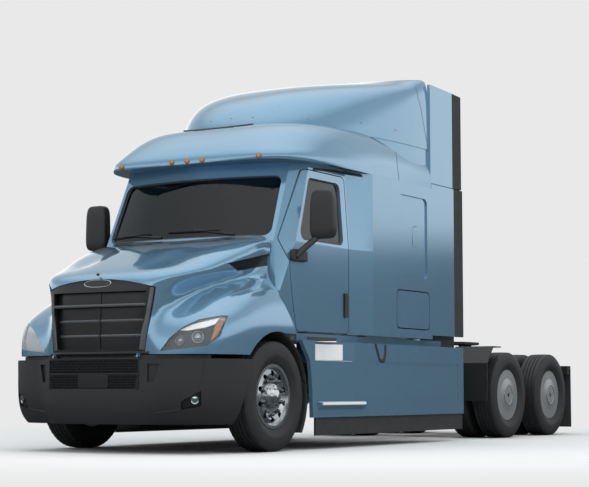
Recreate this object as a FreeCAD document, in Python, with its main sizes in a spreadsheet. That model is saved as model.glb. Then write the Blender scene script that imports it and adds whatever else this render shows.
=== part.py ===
"""Highway tractor unit: long bonnet, raised roof sleeper cab, steer axle and two drive axles.

+Z is up, the nose points to -Y and the left side of the truck is +X. The origin is on the ground,
under the middle of the truck. All sizes are millimetres.
"""

import FreeCAD, Part
import Sketcher
import math
import os

from FreeCAD import Vector

doc = FreeCAD.newDocument("tractor_unit")
sheet = doc.addObject("Spreadsheet::Sheet", "Sizes")


class Size:
    """A size with its number and the sheet expression that it comes from."""

    def __init__(self, value, text):
        self.value = float(value)
        self.text = text

    @staticmethod
    def of(other):
        return other if isinstance(other, Size) else Size(other, repr(float(other)))

    def __add__(self, other):
        other = Size.of(other)
        return Size(self.value + other.value, f"({self.text} + {other.text})")

    def __sub__(self, other):
        other = Size.of(other)
        return Size(self.value - other.value, f"({self.text} - {other.text})")

    def __mul__(self, share):
        share = Size.of(share)
        return Size(self.value * share.value, f"({self.text} * {share.text})")

    def __truediv__(self, share):
        share = Size.of(share)
        return Size(self.value / share.value, f"({self.text} / {share.text})")

    def __neg__(self):
        return Size(-self.value, f"(0 - {self.text})")


class Sizes:
    """The driving dimensions, each a cell of the sheet with an alias."""

    row = 0

    def add(self, sizes):
        for name, value in sizes.items():
            Sizes.row += 1
            sheet.set(f"A{Sizes.row}", name)
            sheet.set(f"B{Sizes.row}", str(value))
            sheet.setAlias(f"B{Sizes.row}", name)
            setattr(self, name, Size(value, f"Sizes.{name}"))


S = Sizes()
ZERO = Size(0, "0")

# Layout of the whole truck. Lengths along the truck are counted back from the steer axle.
layout_sizes = {
    "overall_length": 8580, "front_overhang": 1225, "drive_axle_offset": 5280, "tandem_spacing": 1321,
    "ground_to_axle": 510, "body_half_width": 1220, "panel_gap": 11, "seat_gap": 0.3,
    "bearing_gap": 0.8, "cut_over": 40,
}
S.add(layout_sizes)
axle_y = S.front_overhang - S.overall_length / 2
drive_y = [axle_y + S.drive_axle_offset, axle_y + S.drive_axle_offset + S.tandem_spacing]
tandem_y = axle_y + S.drive_axle_offset + S.tandem_spacing / 2

nodes = []


def keep(obj, label):
    """Lists an object as a finished sub-part under its own name."""
    obj.Label = label
    nodes.append(obj)
    return obj


def bind(obj, **sizes):
    """Ties properties of an object to sheet expressions."""
    for name, size in sizes.items():
        obj.setExpression(name.replace("__", "."), Size.of(size).text)
    return obj


def place(obj, x=ZERO, y=ZERO, z=ZERO):
    """Puts an object at a point worked out from the sheet."""
    for letter, size in zip("xyz", (x, y, z)):
        obj.setExpression(f"Placement.Base.{letter}", Size.of(size).text)
    return obj


def new_body(name):
    return doc.addObject("PartDesign::Body", name)


def sketch(body, name, plane, outlines=(), circles=(), offset=None):
    """A sketch on one of the body's origin planes. Every corner and circle is tied to the sheet."""
    made = body.newObject("Sketcher::SketchObject", name)
    support = next(f for f in body.Origin.OriginFeatures if f.Role == plane)
    made.AttachmentSupport = [(support, "")]
    made.MapMode = "FlatFace"
    if offset is not None:
        made.setExpression("AttachmentOffset.Base.z", offset.text)

    def dimension(kind, geometry, point, size):
        index = made.addConstraint(Sketcher.Constraint(kind, -1, 1, geometry, point, size.value))
        made.setExpression(f"Constraints[{index}]", size.text)

    for outline in outlines:
        corners = [(Size.of(a), Size.of(b)) for a, b in outline]
        points = [Vector(a.value, b.value, 0) for a, b in corners]
        lines = [
            made.addGeometry(Part.LineSegment(points[i], points[(i + 1) % len(points)]), False)
            for i in range(len(points))
        ]
        for i, line in enumerate(lines):
            following = lines[(i + 1) % len(lines)]
            made.addConstraint(Sketcher.Constraint("Coincident", line, 2, following, 1))
            dimension("DistanceX", line, 1, corners[i][0])
            dimension("DistanceY", line, 1, corners[i][1])
    for across, up, radius in circles:
        across, up, radius = Size.of(across), Size.of(up), Size.of(radius)
        ring = made.addGeometry(
            Part.Circle(Vector(across.value, up.value, 0), Vector(0, 0, 1), radius.value), False
        )
        dimension("DistanceX", ring, 3, across)
        dimension("DistanceY", ring, 3, up)
        index = made.addConstraint(Sketcher.Constraint("Radius", ring, radius.value))
        made.setExpression(f"Constraints[{index}]", radius.text)
    return made


def pad(body, profile, length, midplane=False, backwards=False):
    made = body.newObject("PartDesign::Pad", profile.Name + "_pad")
    made.Profile = profile
    made.Midplane = midplane
    made.Reversed = backwards
    made.setExpression("Length", length.text)
    return made


def pocket(body, profile, length=None, midplane=False, backwards=False):
    made = body.newObject("PartDesign::Pocket", profile.Name + "_pocket")
    made.Profile = profile
    made.Midplane = midplane
    made.Reversed = backwards
    if length is None:
        made.Type = "ThroughAll"
    else:
        made.setExpression("Length", length.text)
    return made


def revolve(body, profile):
    """Turns a sketch about its own horizontal axis."""
    made = body.newObject("PartDesign::Revolution", profile.Name + "_turned")
    made.Profile = profile
    made.ReferenceAxis = (profile, ["H_Axis"])
    made.Angle = 360
    return made


def padded(name, plane, outline, length, offset=None, midplane=False, backwards=False, circles=()):
    """A body with one pad."""
    body = new_body(name)
    pad(body, sketch(body, name + "_outline", plane, [outline], circles, offset), length, midplane,
        backwards)
    return body


def turned(name, outline):
    """A body turned about X from (across, radius) corners."""
    body = new_body(name)
    revolve(body, sketch(body, name + "_half", "XY_Plane", [outline]))
    return body


def mirror(obj, name):
    """The same piece on the other side of the truck."""
    made = doc.addObject("Part::Mirroring", name)
    made.Source = obj
    made.Normal = Vector(1, 0, 0)
    return made


def fuse(name, parts):
    made = doc.addObject("Part::MultiFuse", name)
    made.Shapes = parts
    return made


def together(name, parts):
    """Separate solids that share a node."""
    made = doc.addObject("Part::Compound", name)
    made.Links = parts
    return made


def feature(name, shape):
    made = doc.addObject("Part::Feature", name)
    made.Shape = shape
    return made


def box(name, x, y, z):
    """A block between two corners, each given as a (low, high) pair of sizes."""
    made = doc.addObject("Part::Box", name)
    (x0, x1), (y0, y1), (z0, z1) = [(Size.of(a), Size.of(b)) for a, b in (x, y, z)]
    bind(made, Length=x1 - x0, Width=y1 - y0, Height=z1 - z0)
    return place(made, x0, y0, z0)


def rod(name, radius, length, x, y, z, axis):
    """A cylinder that starts at a point and runs along an axis."""
    made = doc.addObject("Part::Cylinder", name)
    bind(made, Radius=radius, Height=length)
    turn = {"X": (Vector(0, 1, 0), 90), "Y": (Vector(1, 0, 0), -90), "Z": (Vector(0, 0, 1), 0)}[axis]
    made.Placement = FreeCAD.Placement(Vector(0, 0, 0), FreeCAD.Rotation(*turn))
    return place(made, x, y, z)


def polygon_prism(points, direction):
    """A straight prism on a closed polygon of vectors."""
    return Part.Face(Part.makePolygon(list(points) + [points[0]])).extrude(direction)


def side_prism(corners, x_from, x_to):
    """A prism across the truck, from its outline of (y, z) corners."""
    points = [Vector(x_from, y, z) for y, z in corners]
    return polygon_prism(points, Vector(x_to - x_from, 0, 0))


def front_prism(corners, y_from, y_to):
    """A prism along the truck, from its outline of (x, z) corners."""
    points = [Vector(x, y_from, z) for x, z in corners]
    return polygon_prism(points, Vector(0, y_to - y_from, 0))


def rounded(corners, radius, along):
    """A closed wire through corners, each rounded by an arc. `along` turns (a, b) into a vector."""
    count = len(corners)
    edges = []
    last = None
    first = None
    for i in range(count):
        before, here, after = corners[i - 1], corners[i], corners[(i + 1) % count]
        to_before = FreeCAD.Vector(before[0] - here[0], before[1] - here[1], 0)
        to_after = FreeCAD.Vector(after[0] - here[0], after[1] - here[1], 0)
        half = to_before.getAngle(to_after) / 2
        reach = min(radius / math.tan(half), 0.45 * to_before.Length, 0.45 * to_after.Length)
        real_radius = reach * math.tan(half)
        to_before.normalize()
        to_after.normalize()
        middle_way = (to_before + to_after).normalize()
        centre = Vector(here[0], here[1], 0) + middle_way * (real_radius / math.sin(half))
        start = Vector(here[0], here[1], 0) + to_before * reach
        end = Vector(here[0], here[1], 0) + to_after * reach
        middle = centre - middle_way * real_radius
        start, middle, end = [along(p.x, p.y) for p in (start, middle, end)]
        if last is not None:
            edges.append(Part.LineSegment(last, start).toShape())
        else:
            first = start
        edges.append(Part.Arc(start, middle, end).toShape())
        last = end
    edges.append(Part.LineSegment(last, first).toShape())
    return Part.Wire(edges)


def rounded_side_prism(corners, radius, x_from, x_to):
    wire = rounded(corners, radius, lambda a, b: Vector(x_from, a, b))
    return Part.Face(wire).extrude(Vector(x_to - x_from, 0, 0))


def rounded_front_prism(corners, radius, y_from, y_to):
    wire = rounded(corners, radius, lambda a, b: Vector(a, y_from, b))
    return Part.Face(wire).extrude(Vector(0, y_to - y_from, 0))


def flip(shape):
    """The mirror image on the other side of the truck."""
    return shape.mirror(Vector(0, 0, 0), Vector(1, 0, 0))


# Frame: two channel rails with the crossmembers between them.
frame_sizes = {
    "frame_half_width": 430, "rail_height": 270, "rail_flange": 90, "rail_wall": 12, "frame_top": 985,
    "frame_front": 960, "frame_rear": 7230, "crossmember_wall": 16,
}
S.add(frame_sizes)
rail_length = S.frame_front + S.frame_rear
rail_low = S.frame_top - S.rail_height
rail_inner = S.frame_half_width - S.rail_flange


def make_frame():
    outline = [
        (rail_inner, rail_low),
        (S.frame_half_width, rail_low),
        (S.frame_half_width, S.frame_top),
        (rail_inner, S.frame_top),
        (rail_inner, S.frame_top - S.rail_wall),
        (S.frame_half_width - S.rail_wall, S.frame_top - S.rail_wall),
        (S.frame_half_width - S.rail_wall, rail_low + S.rail_wall),
        (rail_inner, rail_low + S.rail_wall),
    ]
    rail = padded("rail_left", "XZ_Plane", outline, rail_length, backwards=True)
    place(rail, y=axle_y - S.frame_front)
    keep(together("rails", [rail, mirror(rail, "rail_right")]), "frame_rails")

    # Each crossmember is a channel between the webs of the rails.
    span = S.frame_half_width - S.rail_wall
    members = []
    for number, back in enumerate(crossmember_places()):
        y = axle_y + back
        low, top = rail_low + S.rail_wall, S.frame_top - S.rail_wall
        outline = [
            (y, low),
            (y + S.crossmember_flange, low),
            (y + S.crossmember_flange, low + S.crossmember_wall),
            (y + S.crossmember_wall, low + S.crossmember_wall),
            (y + S.crossmember_wall, top - S.crossmember_wall),
            (y + S.crossmember_flange, top - S.crossmember_wall),
            (y + S.crossmember_flange, top),
            (y, top),
        ]
        members.append(padded(f"crossmember_{number}", "YZ_Plane", outline, span * 2, midplane=True))
    keep(together("members", members), "crossmembers")


crossmember_sizes = {
    "crossmember_flange": 70, "first_crossmember": -900, "mid_crossmember": 2500,
    "rear_mid_crossmember": 4300,
}
S.add(crossmember_sizes)


def crossmember_places():
    """Distances of the crossmembers behind the steer axle."""
    return [
        S.first_crossmember,
        S.mid_crossmember,
        S.rear_mid_crossmember,
        S.drive_axle_offset + S.tandem_spacing / 2 - S.crossmember_flange / 2,
        S.frame_rear - S.crossmember_flange,
    ]


make_frame()

# Wheels and tyres. The steer wheel is a polished disc, each drive wheel end carries twin wheels.
wheel_sizes = {
    "tyre_radius": 510, "tyre_half_width": 140, "tyre_bulge_radius": 392, "tyre_shoulder_radius": 488,
    "tyre_shoulder_half": 127, "tyre_crown_half": 104, "tyre_crown_edge_radius": 507,
    "rim_flange_radius": 299, "rim_barrel_radius": 286, "rim_half_width": 104, "rim_lip": 8,
    "rim_inner_radius": 272, "disc_wall": 14, "disc_outboard": 62, "disc_dish": 24,
    "disc_rise_radius": 215, "hub_radius": 112, "hub_bore": 58, "hub_depth": 120, "hub_nose": 104,
    "hub_cap_radius": 74, "hand_hole_radius": 27, "hand_hole_circle": 215, "steer_track_half": 1052,
    "drive_track_half": 915, "dual_spacing": 343, "cover_wall": 8, "cover_dome": 28, "cover_hole": 24,
    "cover_inset": 12, "drive_hub_radius": 130, "drive_hub_bore": 62, "axle_flange": 24,
}
S.add(wheel_sizes)
HAND_HOLES = 10


def tyre_outline(middle):
    """Half section of a tyre about a wheel plane, as (across, radius)."""
    bead = S.rim_half_width - S.rim_lip - S.seat_gap
    half = [
        (bead, S.rim_barrel_radius + S.seat_gap),
        (bead, S.rim_flange_radius),
        (S.tyre_half_width, S.tyre_bulge_radius),
        (S.tyre_shoulder_half, S.tyre_shoulder_radius),
        (S.tyre_crown_half, S.tyre_crown_edge_radius),
    ]
    right = [(middle + across, radius) for across, radius in half]
    left = [(middle - across, radius) for across, radius in half]
    crown = [(middle, S.tyre_radius)]
    return left + crown + right[::-1]


def steer_wheel_outline():
    """Rim, dished disc, hub and cap of a steer wheel, from the inner flange round to the bore."""
    half, lip = S.rim_half_width, S.rim_lip
    return [
        (-half, S.rim_inner_radius),
        (-half, S.rim_flange_radius),
        (-half + lip, S.rim_flange_radius),
        (-half + lip, S.rim_barrel_radius),
        (half - lip, S.rim_barrel_radius),
        (half - lip, S.rim_flange_radius),
        (half, S.rim_flange_radius),
        (half, S.rim_inner_radius),
        (S.disc_outboard + S.disc_wall, S.rim_inner_radius - S.rim_lip),
        (S.disc_outboard + S.disc_wall + S.disc_dish, S.disc_rise_radius),
        (S.disc_outboard + S.disc_wall + S.disc_dish / 4, S.hub_radius + S.hub_bore),
        (S.disc_outboard + S.disc_wall + S.disc_dish / 4, S.hub_radius),
        (S.hub_nose, S.hub_radius),
        (S.hub_nose + S.disc_wall, S.hub_cap_radius),
        (S.hub_nose + S.hub_cap_radius / 2, S.hub_cap_radius * 0.8),
        (S.hub_nose + S.hub_cap_radius / 2 + S.disc_wall, ZERO),
        (S.hub_nose - S.disc_wall, ZERO),
        (S.hub_nose - S.disc_wall, S.hub_bore),
        (S.hub_nose - S.hub_depth, S.hub_bore),
        (S.hub_nose - S.hub_depth, S.hub_radius),
        (S.disc_outboard - S.disc_wall, S.hub_radius),
        (S.disc_outboard + S.disc_dish / 4, S.hub_radius + S.hub_bore),
        (S.disc_outboard + S.disc_dish, S.disc_rise_radius),
        (S.disc_outboard, S.rim_inner_radius - S.rim_lip),
        (half - S.rim_half_width, S.rim_inner_radius),
    ]


def twin_wheel_outline():
    """Two rims on one hub, discs back to back, with the domed cover on the outer rim."""
    half, lip = S.rim_half_width, S.rim_lip
    outer, inner = S.dual_spacing / 2, -S.dual_spacing / 2
    barrel, flange, bore = S.rim_barrel_radius, S.rim_flange_radius, S.rim_inner_radius
    cover = outer + half - S.cover_inset
    return [
        (inner - half, bore),
        (inner - half, flange),
        (inner - half + lip, flange),
        (inner - half + lip, barrel),
        (inner + half - lip, barrel),
        (inner + half - lip, flange),
        (inner + half, flange),
        (inner + half, bore),
        (-S.disc_wall, bore - lip),
        (-S.disc_wall, S.drive_hub_radius + S.drive_hub_bore),
        (S.disc_wall, S.drive_hub_radius + S.drive_hub_bore),
        (S.disc_wall, bore - lip),
        (outer - half, bore),
        (outer - half, flange),
        (outer - half + lip, flange),
        (outer - half + lip, barrel),
        (outer + half - lip, barrel),
        (outer + half - lip, flange),
        (outer + half, flange),
        (outer + half, bore),
        (cover + S.cover_dome / 2, bore * 0.72),
        (cover + S.cover_dome, bore * 0.4),
        (cover + S.cover_dome, S.cover_hole),
        (cover + S.cover_dome - S.cover_wall, S.cover_hole),
        (cover + S.cover_dome - S.cover_wall, bore * 0.4),
        (cover + S.cover_dome / 2 - S.cover_wall, bore * 0.72),
        (cover - S.cover_wall, bore - lip),
        (outer - half + lip, bore - lip),
        (S.disc_wall * 2, bore - lip * 3),
        (S.disc_wall * 2, S.drive_hub_radius),
        (outer, S.drive_hub_radius),
        (outer, ZERO),
        (outer - S.axle_flange, ZERO),
        (outer - S.axle_flange, S.drive_hub_bore),
        (inner - half / 2, S.drive_hub_bore),
        (inner - half / 2, S.drive_hub_radius),
        (-S.disc_wall * 2, S.drive_hub_radius),
        (-S.disc_wall * 2, bore - lip * 3),
        (inner + half - lip, bore - lip),
    ]


def make_wheels():
    # Hand holes are drilled through the disc and repeated round it.
    rim = new_body("steer_rim")
    revolve(rim, sketch(rim, "steer_rim_half", "XY_Plane", [steer_wheel_outline()]))
    hole = sketch(rim, "hand_hole", "YZ_Plane", circles=[(ZERO, S.hand_hole_circle, S.hand_hole_radius)])
    drilled = pocket(rim, hole, S.rim_half_width * 2, backwards=True)
    ring = rim.newObject("PartDesign::PolarPattern", "hand_hole_ring")
    ring.Originals = [drilled]
    ring.Axis = (hole, ["N_Axis"])
    ring.Angle = 360
    ring.Occurrences = HAND_HOLES
    rim.Tip = ring
    place(rim, S.steer_track_half, axle_y, S.ground_to_axle)
    keep(rim, "steer_wheel_left")
    keep(mirror(rim, "steer_rim_right"), "steer_wheel_right")

    tyre = turned("steer_tyre", tyre_outline(ZERO))
    place(tyre, S.steer_track_half, axle_y, S.ground_to_axle)
    keep(tyre, "steer_tyre_left")
    keep(mirror(tyre, "steer_tyre_mirrored"), "steer_tyre_right")

    for end, y in zip(("front", "rear"), drive_y):
        pair = new_body(f"drive_rims_{end}")
        revolve(pair, sketch(pair, f"drive_rims_{end}_half", "XY_Plane", [twin_wheel_outline()]))
        place(pair, S.drive_track_half, y, S.ground_to_axle)
        keep(pair, f"drive_wheels_{end}_left")
        keep(mirror(pair, f"drive_rims_{end}_mirrored"), f"drive_wheels_{end}_right")

        tyres = []
        for side, offset in (("outer", S.dual_spacing / 2), ("inner", -S.dual_spacing / 2)):
            tyre = turned(f"drive_tyre_{end}_{side}", tyre_outline(offset))
            tyres.append(place(tyre, S.drive_track_half, y, S.ground_to_axle))
        left = together(f"drive_tyres_{end}", tyres)
        keep(left, f"drive_tyres_{end}_left")
        keep(mirror(left, f"drive_tyres_{end}_mirrored"), f"drive_tyres_{end}_right")


make_wheels()

# Steer axle: a dropped beam, leaf springs, knuckles on kingpins and the tie rod between them.
steer_axle_sizes = {
    "kingpin_half": 905, "kingpin_radius": 24, "beam_depth": 100, "beam_width": 88, "beam_drop": 80,
    "beam_drop_start": 620, "knuckle_boss": 48, "knuckle_gap": 3, "knuckle_jaw": 52,
    "tie_rod_radius": 22, "tie_rod_behind": 210, "steer_arm_width": 40, "spring_half": 470,
    "spring_width": 76, "spring_leaf": 38, "spring_span": 1500, "spring_camber": 95,
}
S.add(steer_axle_sizes)


def make_steer_axle():
    z = S.ground_to_axle
    low = z - S.beam_drop - S.beam_depth / 2
    top = z - S.beam_drop + S.beam_depth / 2
    end_low = z - S.beam_depth / 2
    end_top = z + S.beam_depth / 2
    end = S.kingpin_half
    start = S.beam_drop_start
    outline = [
        (-end, end_low), (-start - S.beam_drop, end_low), (-start, low), (start, low),
        (start + S.beam_drop, end_low), (end, end_low), (end, end_top),
        (start + S.beam_drop, end_top), (start, top), (-start, top),
        (-start - S.beam_drop, end_top), (-end, end_top),
    ]
    beam = new_body("steer_beam")
    pad(beam, sketch(beam, "beam_side", "XZ_Plane", [outline], offset=-axle_y), S.beam_width, midplane=True)
    eyes = sketch(
        beam, "kingpin_eyes", "XY_Plane",
        circles=[(x, axle_y, S.knuckle_boss) for x in (S.kingpin_half, -S.kingpin_half)], offset=z,
    )
    pad(beam, eyes, S.beam_depth, midplane=True)
    bores = sketch(
        beam, "kingpin_bores", "XY_Plane",
        circles=[(x, axle_y, S.kingpin_radius + S.bearing_gap) for x in (S.kingpin_half, -S.kingpin_half)],
        offset=z,
    )
    pocket(beam, bores, S.beam_depth * 2, midplane=True)
    keep(beam, "steer_axle_beam")

    # Each spring is one tapered leaf pack, arched down onto its seat.
    span, thick = S.spring_span, S.spring_leaf
    seat = top + S.seat_gap
    outline = [
        (axle_y - span / 2, seat + S.spring_camber), (axle_y - span / 4, seat + S.spring_camber * 0.3),
        (axle_y - S.beam_width / 2, seat), (axle_y + S.beam_width / 2, seat),
        (axle_y + span / 4, seat + S.spring_camber * 0.3), (axle_y + span / 2, seat + S.spring_camber),
        (axle_y + span / 2, seat + S.spring_camber + thick),
        (axle_y + span / 4, seat + S.spring_camber * 0.3 + thick * 1.5),
        (axle_y + S.beam_width / 2, seat + thick * 2), (axle_y - S.beam_width / 2, seat + thick * 2),
        (axle_y - span / 4, seat + S.spring_camber * 0.3 + thick * 1.5),
        (axle_y - span / 2, seat + S.spring_camber + thick),
    ]
    leaf = padded("spring_left", "YZ_Plane", outline, S.spring_width, offset=S.spring_half - S.spring_width)
    hanger_top = rail_low + S.rail_height / 2
    hangers = [leaf]
    for name, y in (("front", axle_y - span / 2), ("rear", axle_y + span / 2 - S.beam_width)):
        hangers.append(
            box(
                f"spring_hanger_{name}",
                (S.frame_half_width, S.spring_half),
                (y, y + S.beam_width),
                (seat + S.spring_camber + thick, hanger_top),
            )
        )
    left = fuse("spring_left_mounted", hangers)
    keep(together("springs", [left, mirror(left, "spring_right_mounted")]), "steer_springs")


def make_knuckle():
    """Spindle, fork round the beam end, kingpin and steering arm, for the left side."""
    z = S.ground_to_axle
    gap, jaw, boss = S.knuckle_gap, S.knuckle_jaw, S.knuckle_boss
    half = S.beam_depth / 2
    upper = rod("knuckle_upper", boss, jaw, S.kingpin_half, axle_y, z + half + gap, "Z")
    lower = rod("knuckle_lower", boss, jaw, S.kingpin_half, axle_y, z - half - gap - jaw, "Z")
    pin = rod(
        "kingpin", S.kingpin_radius, S.beam_depth + gap * 2 + jaw * 2,
        S.kingpin_half, axle_y, z - half - gap - jaw, "Z",
    )
    outboard = S.kingpin_half + boss + gap * 2
    web = box(
        "knuckle_web",
        (outboard, outboard + S.kingpin_radius),
        (axle_y - boss, axle_y + boss),
        (z - half - gap - jaw, z + half + gap + jaw),
    )
    upper_arm = box(
        "knuckle_upper_arm", (S.kingpin_half, outboard),
        (axle_y - boss, axle_y + boss), (z + half + gap, z + half + gap + jaw),
    )
    lower_arm = box(
        "knuckle_lower_arm", (S.kingpin_half, outboard),
        (axle_y - boss, axle_y + boss), (z - half - gap - jaw, z - half - gap),
    )
    spindle_end = S.steer_track_half + S.hub_nose - S.disc_wall - S.knuckle_gap
    spindle = rod("spindle", S.hub_bore - S.bearing_gap, spindle_end - outboard, outboard, axle_y, z, "X")
    arm_z = z - half - gap - jaw
    arm_reach = S.tie_rod_behind + S.steer_arm_width
    arm_body = new_body("steer_arm")
    outline = [
        (S.kingpin_half - boss * 0.8, axle_y),
        (S.kingpin_half + boss * 0.6, axle_y),
        (S.kingpin_half + S.steer_arm_width / 2, axle_y + arm_reach),
        (S.kingpin_half - S.steer_arm_width / 2, axle_y + arm_reach),
    ]
    pad(arm_body, sketch(arm_body, "steer_arm_outline", "XY_Plane", [outline], offset=arm_z), jaw / 2)
    solid = fuse("knuckle", [upper, lower, pin, web, upper_arm, lower_arm, spindle, arm_body])
    keep(solid, "knuckle_left")
    keep(mirror(solid, "knuckle_mirrored"), "knuckle_right")

    # The tie rod hangs under both arms on its ball pins.
    top = arm_z - S.seat_gap
    y = axle_y + S.tie_rod_behind + S.steer_arm_width / 2
    bar = rod("tie_rod_bar", S.tie_rod_radius, S.kingpin_half * 2, -S.kingpin_half, y,
              top - S.tie_rod_radius * 2, "X")
    ends = [
        rod(f"tie_rod_end_{i}", S.tie_rod_radius * 1.2, S.tie_rod_radius * 3, x, y,
            top - S.tie_rod_radius * 3, "Z")
        for i, x in enumerate((S.kingpin_half, -S.kingpin_half))
    ]
    keep(fuse("tie_rod_solid", [bar] + ends), "tie_rod")


make_steer_axle()
make_knuckle()

# Drive axles, their suspension and the propeller shafts.
drive_axle_sizes = {
    "axle_housing_radius": 92, "axle_bowl_radius": 215, "axle_bowl_half": 150, "axle_housing_half": 590,
    "air_spring_radius": 135, "air_spring_behind": 330, "arm_width": 80, "arm_depth": 70,
    "arm_front": 520, "shaft_radius": 62, "engine_half_width": 390, "engine_front": -690,
    "engine_rear": 60, "engine_mount_back": -400, "engine_low": 560, "engine_top": 1480,
    "gearbox_rear": 1450, "gearbox_half_width": 230, "gearbox_top": 1060, "radiator_half_width": 480,
    "radiator_depth": 90, "radiator_front": -810, "radiator_low": 620, "radiator_top": 1420,
}
S.add(drive_axle_sizes)


axle_tube_radius = S.drive_hub_bore - S.bearing_gap


def make_drive_axles():
    axles = []
    for end, y in zip(("front", "rear"), drive_y):
        half = S.axle_housing_half
        tip = S.drive_track_half + S.dual_spacing / 2 - S.axle_flange - S.knuckle_gap
        outline = [
            (-tip, ZERO), (-tip, axle_tube_radius), (-half, axle_tube_radius),
            (-half, S.axle_housing_radius), (-S.axle_bowl_half * 1.6, S.axle_housing_radius),
            (-S.axle_bowl_half, S.axle_bowl_radius * 0.8), (-S.axle_bowl_half / 2, S.axle_bowl_radius),
            (S.axle_bowl_half / 2, S.axle_bowl_radius), (S.axle_bowl_half, S.axle_bowl_radius * 0.8),
            (S.axle_bowl_half * 1.6, S.axle_housing_radius), (half, S.axle_housing_radius),
            (half, axle_tube_radius), (tip, axle_tube_radius), (tip, ZERO),
        ]
        axles.append(place(turned(f"axle_housing_{end}", outline), ZERO, y, S.ground_to_axle))
    keep(together("axle_housings", axles), "drive_axles")

    # Each axle end has a trailing arm from a frame hanger back to an air spring.
    arms = []
    arm_low = S.ground_to_axle + S.axle_housing_radius + S.seat_gap
    for end, y in zip(("front", "rear"), drive_y):
        x = (S.frame_half_width - S.arm_width, S.frame_half_width)
        arm = box(f"arm_{end}", x, (y - S.arm_front, y + S.air_spring_behind + S.air_spring_radius),
                  (arm_low, arm_low + S.arm_depth))
        hanger = box(f"arm_hanger_{end}", (S.frame_half_width - S.arm_width, S.frame_half_width),
                     (y - S.arm_front, y - S.arm_front + S.arm_width), (arm_low, rail_low - S.seat_gap))
        bag = rod(f"air_spring_{end}", S.air_spring_radius,
                  rail_low - S.seat_gap - arm_low - S.arm_depth / 2,
                  S.frame_half_width - S.arm_width / 2, y + S.air_spring_behind,
                  arm_low + S.arm_depth / 2, "Z")
        solid = fuse(f"arm_{end}_left", [arm, hanger, bag])
        arms += [solid, mirror(solid, f"arm_{end}_right")]
    keep(together("suspension", arms), "drive_suspension")


def make_driveline():
    upper = box("engine_upper", (-S.engine_half_width, S.engine_half_width),
                (axle_y + S.engine_front, axle_y + S.engine_rear), (S.frame_top + S.cut_over, S.engine_top))
    waist = box("engine_waist", (-S.gearbox_half_width, S.gearbox_half_width),
                (axle_y + S.engine_front, axle_y + S.engine_rear), (S.engine_low, S.engine_top))
    gearbox = box("gearbox_part", (-S.gearbox_half_width, S.gearbox_half_width),
                  (axle_y + S.engine_rear, axle_y + S.gearbox_rear), (S.engine_low, S.gearbox_top))
    mount = box("engine_mount", (S.seat_gap - rail_inner, rail_inner - S.seat_gap),
                (axle_y + S.engine_mount_back, axle_y + S.engine_mount_back + S.rail_flange),
                (S.frame_top - S.rail_flange, S.frame_top - S.rail_flange / 2))
    keep(fuse("engine_solid", [upper, waist, gearbox, mount]), "engine_block")

    radiator = box("radiator_core", (-S.radiator_half_width, S.radiator_half_width),
                   (axle_y + S.radiator_front, axle_y + S.radiator_front + S.radiator_depth),
                   (S.frame_top + S.seat_gap, S.radiator_top))
    lower = box("radiator_foot", (S.seat_gap - rail_inner, rail_inner - S.seat_gap),
                (axle_y + S.radiator_front, axle_y + S.radiator_front + S.radiator_depth),
                (S.radiator_low, S.frame_top + S.seat_gap))
    keep(fuse("radiator_solid", [radiator, lower]), "radiator")

    start = axle_y + S.gearbox_rear
    end = drive_y[0] - S.axle_bowl_radius
    main = rod("main_shaft", S.shaft_radius, end - start, ZERO, start + S.seat_gap,
               S.ground_to_axle + S.arm_width, "Y")
    between_start = drive_y[0] + S.axle_bowl_radius
    between_end = drive_y[1] - S.axle_bowl_radius
    between = rod("tandem_shaft", S.shaft_radius * 0.8, between_end - between_start, ZERO, between_start,
                  S.ground_to_axle, "Y")
    keep(together("shafts", [main, between]), "propeller_shafts")


make_drive_axles()
make_driveline()

# Cab and sleeper: one welded shell, cut where the doors, the glass and the luggage doors go.
cab_sizes = {
    "cab_low": 1120, "belt_height": 1985, "cab_top": 2785, "cab_wall": 60, "cab_half_width": 1135,
    "sleeper_half_width": 1210, "roof_half_width": 1075, "cowl_front": 95, "cowl_corner": 130,
    "cowl_half": 1100, "cowl_back": 20, "cowl_top": 1500, "screen_corner_low": 256,
    "screen_half_low": 1000, "screen_centre_top": 440, "screen_corner_top": 615, "screen_half_top": 965,
    "pillar_back": 180, "flare_start": 1500, "flare_end": 1860, "cab_rear": 3230, "door_front_low": 455,
    "door_front_mid": 372, "door_front_belt": 300, "door_mid_height": 1480, "door_top_front": 700,
    "door_rear": 1470, "door_low": 1130, "door_top": 2712, "door_corner": 70, "window_sill": 2010,
    "window_top": 2640, "window_front_low": 505, "window_front_top": 765, "window_rear": 1375,
    "window_corner": 75, "glass_wall": 8, "hatch_front": 2390, "hatch_rear": 3150, "hatch_low": 1225,
    "hatch_top": 1620, "hatch_pin_inset": 12, "hatch_pin_radius": 5, "hatch_pin_length": 70,
    "blank_front": 2447, "blank_rear": 3113, "blank_low": 1765, "blank_top": 2648,
    "screen_low_margin": 50, "screen_top_margin": 139, "screen_side_margin": 40, "door_reach": 135,
    "mount_inner": 345, "mount_outer": 425, "mount_length": 90, "mount_front": 230, "mount_rear": 3080,
}
S.add(cab_sizes)


def Y(size):
    """A distance behind the steer axle, as a place along the truck."""
    return (axle_y + size).value


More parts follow.
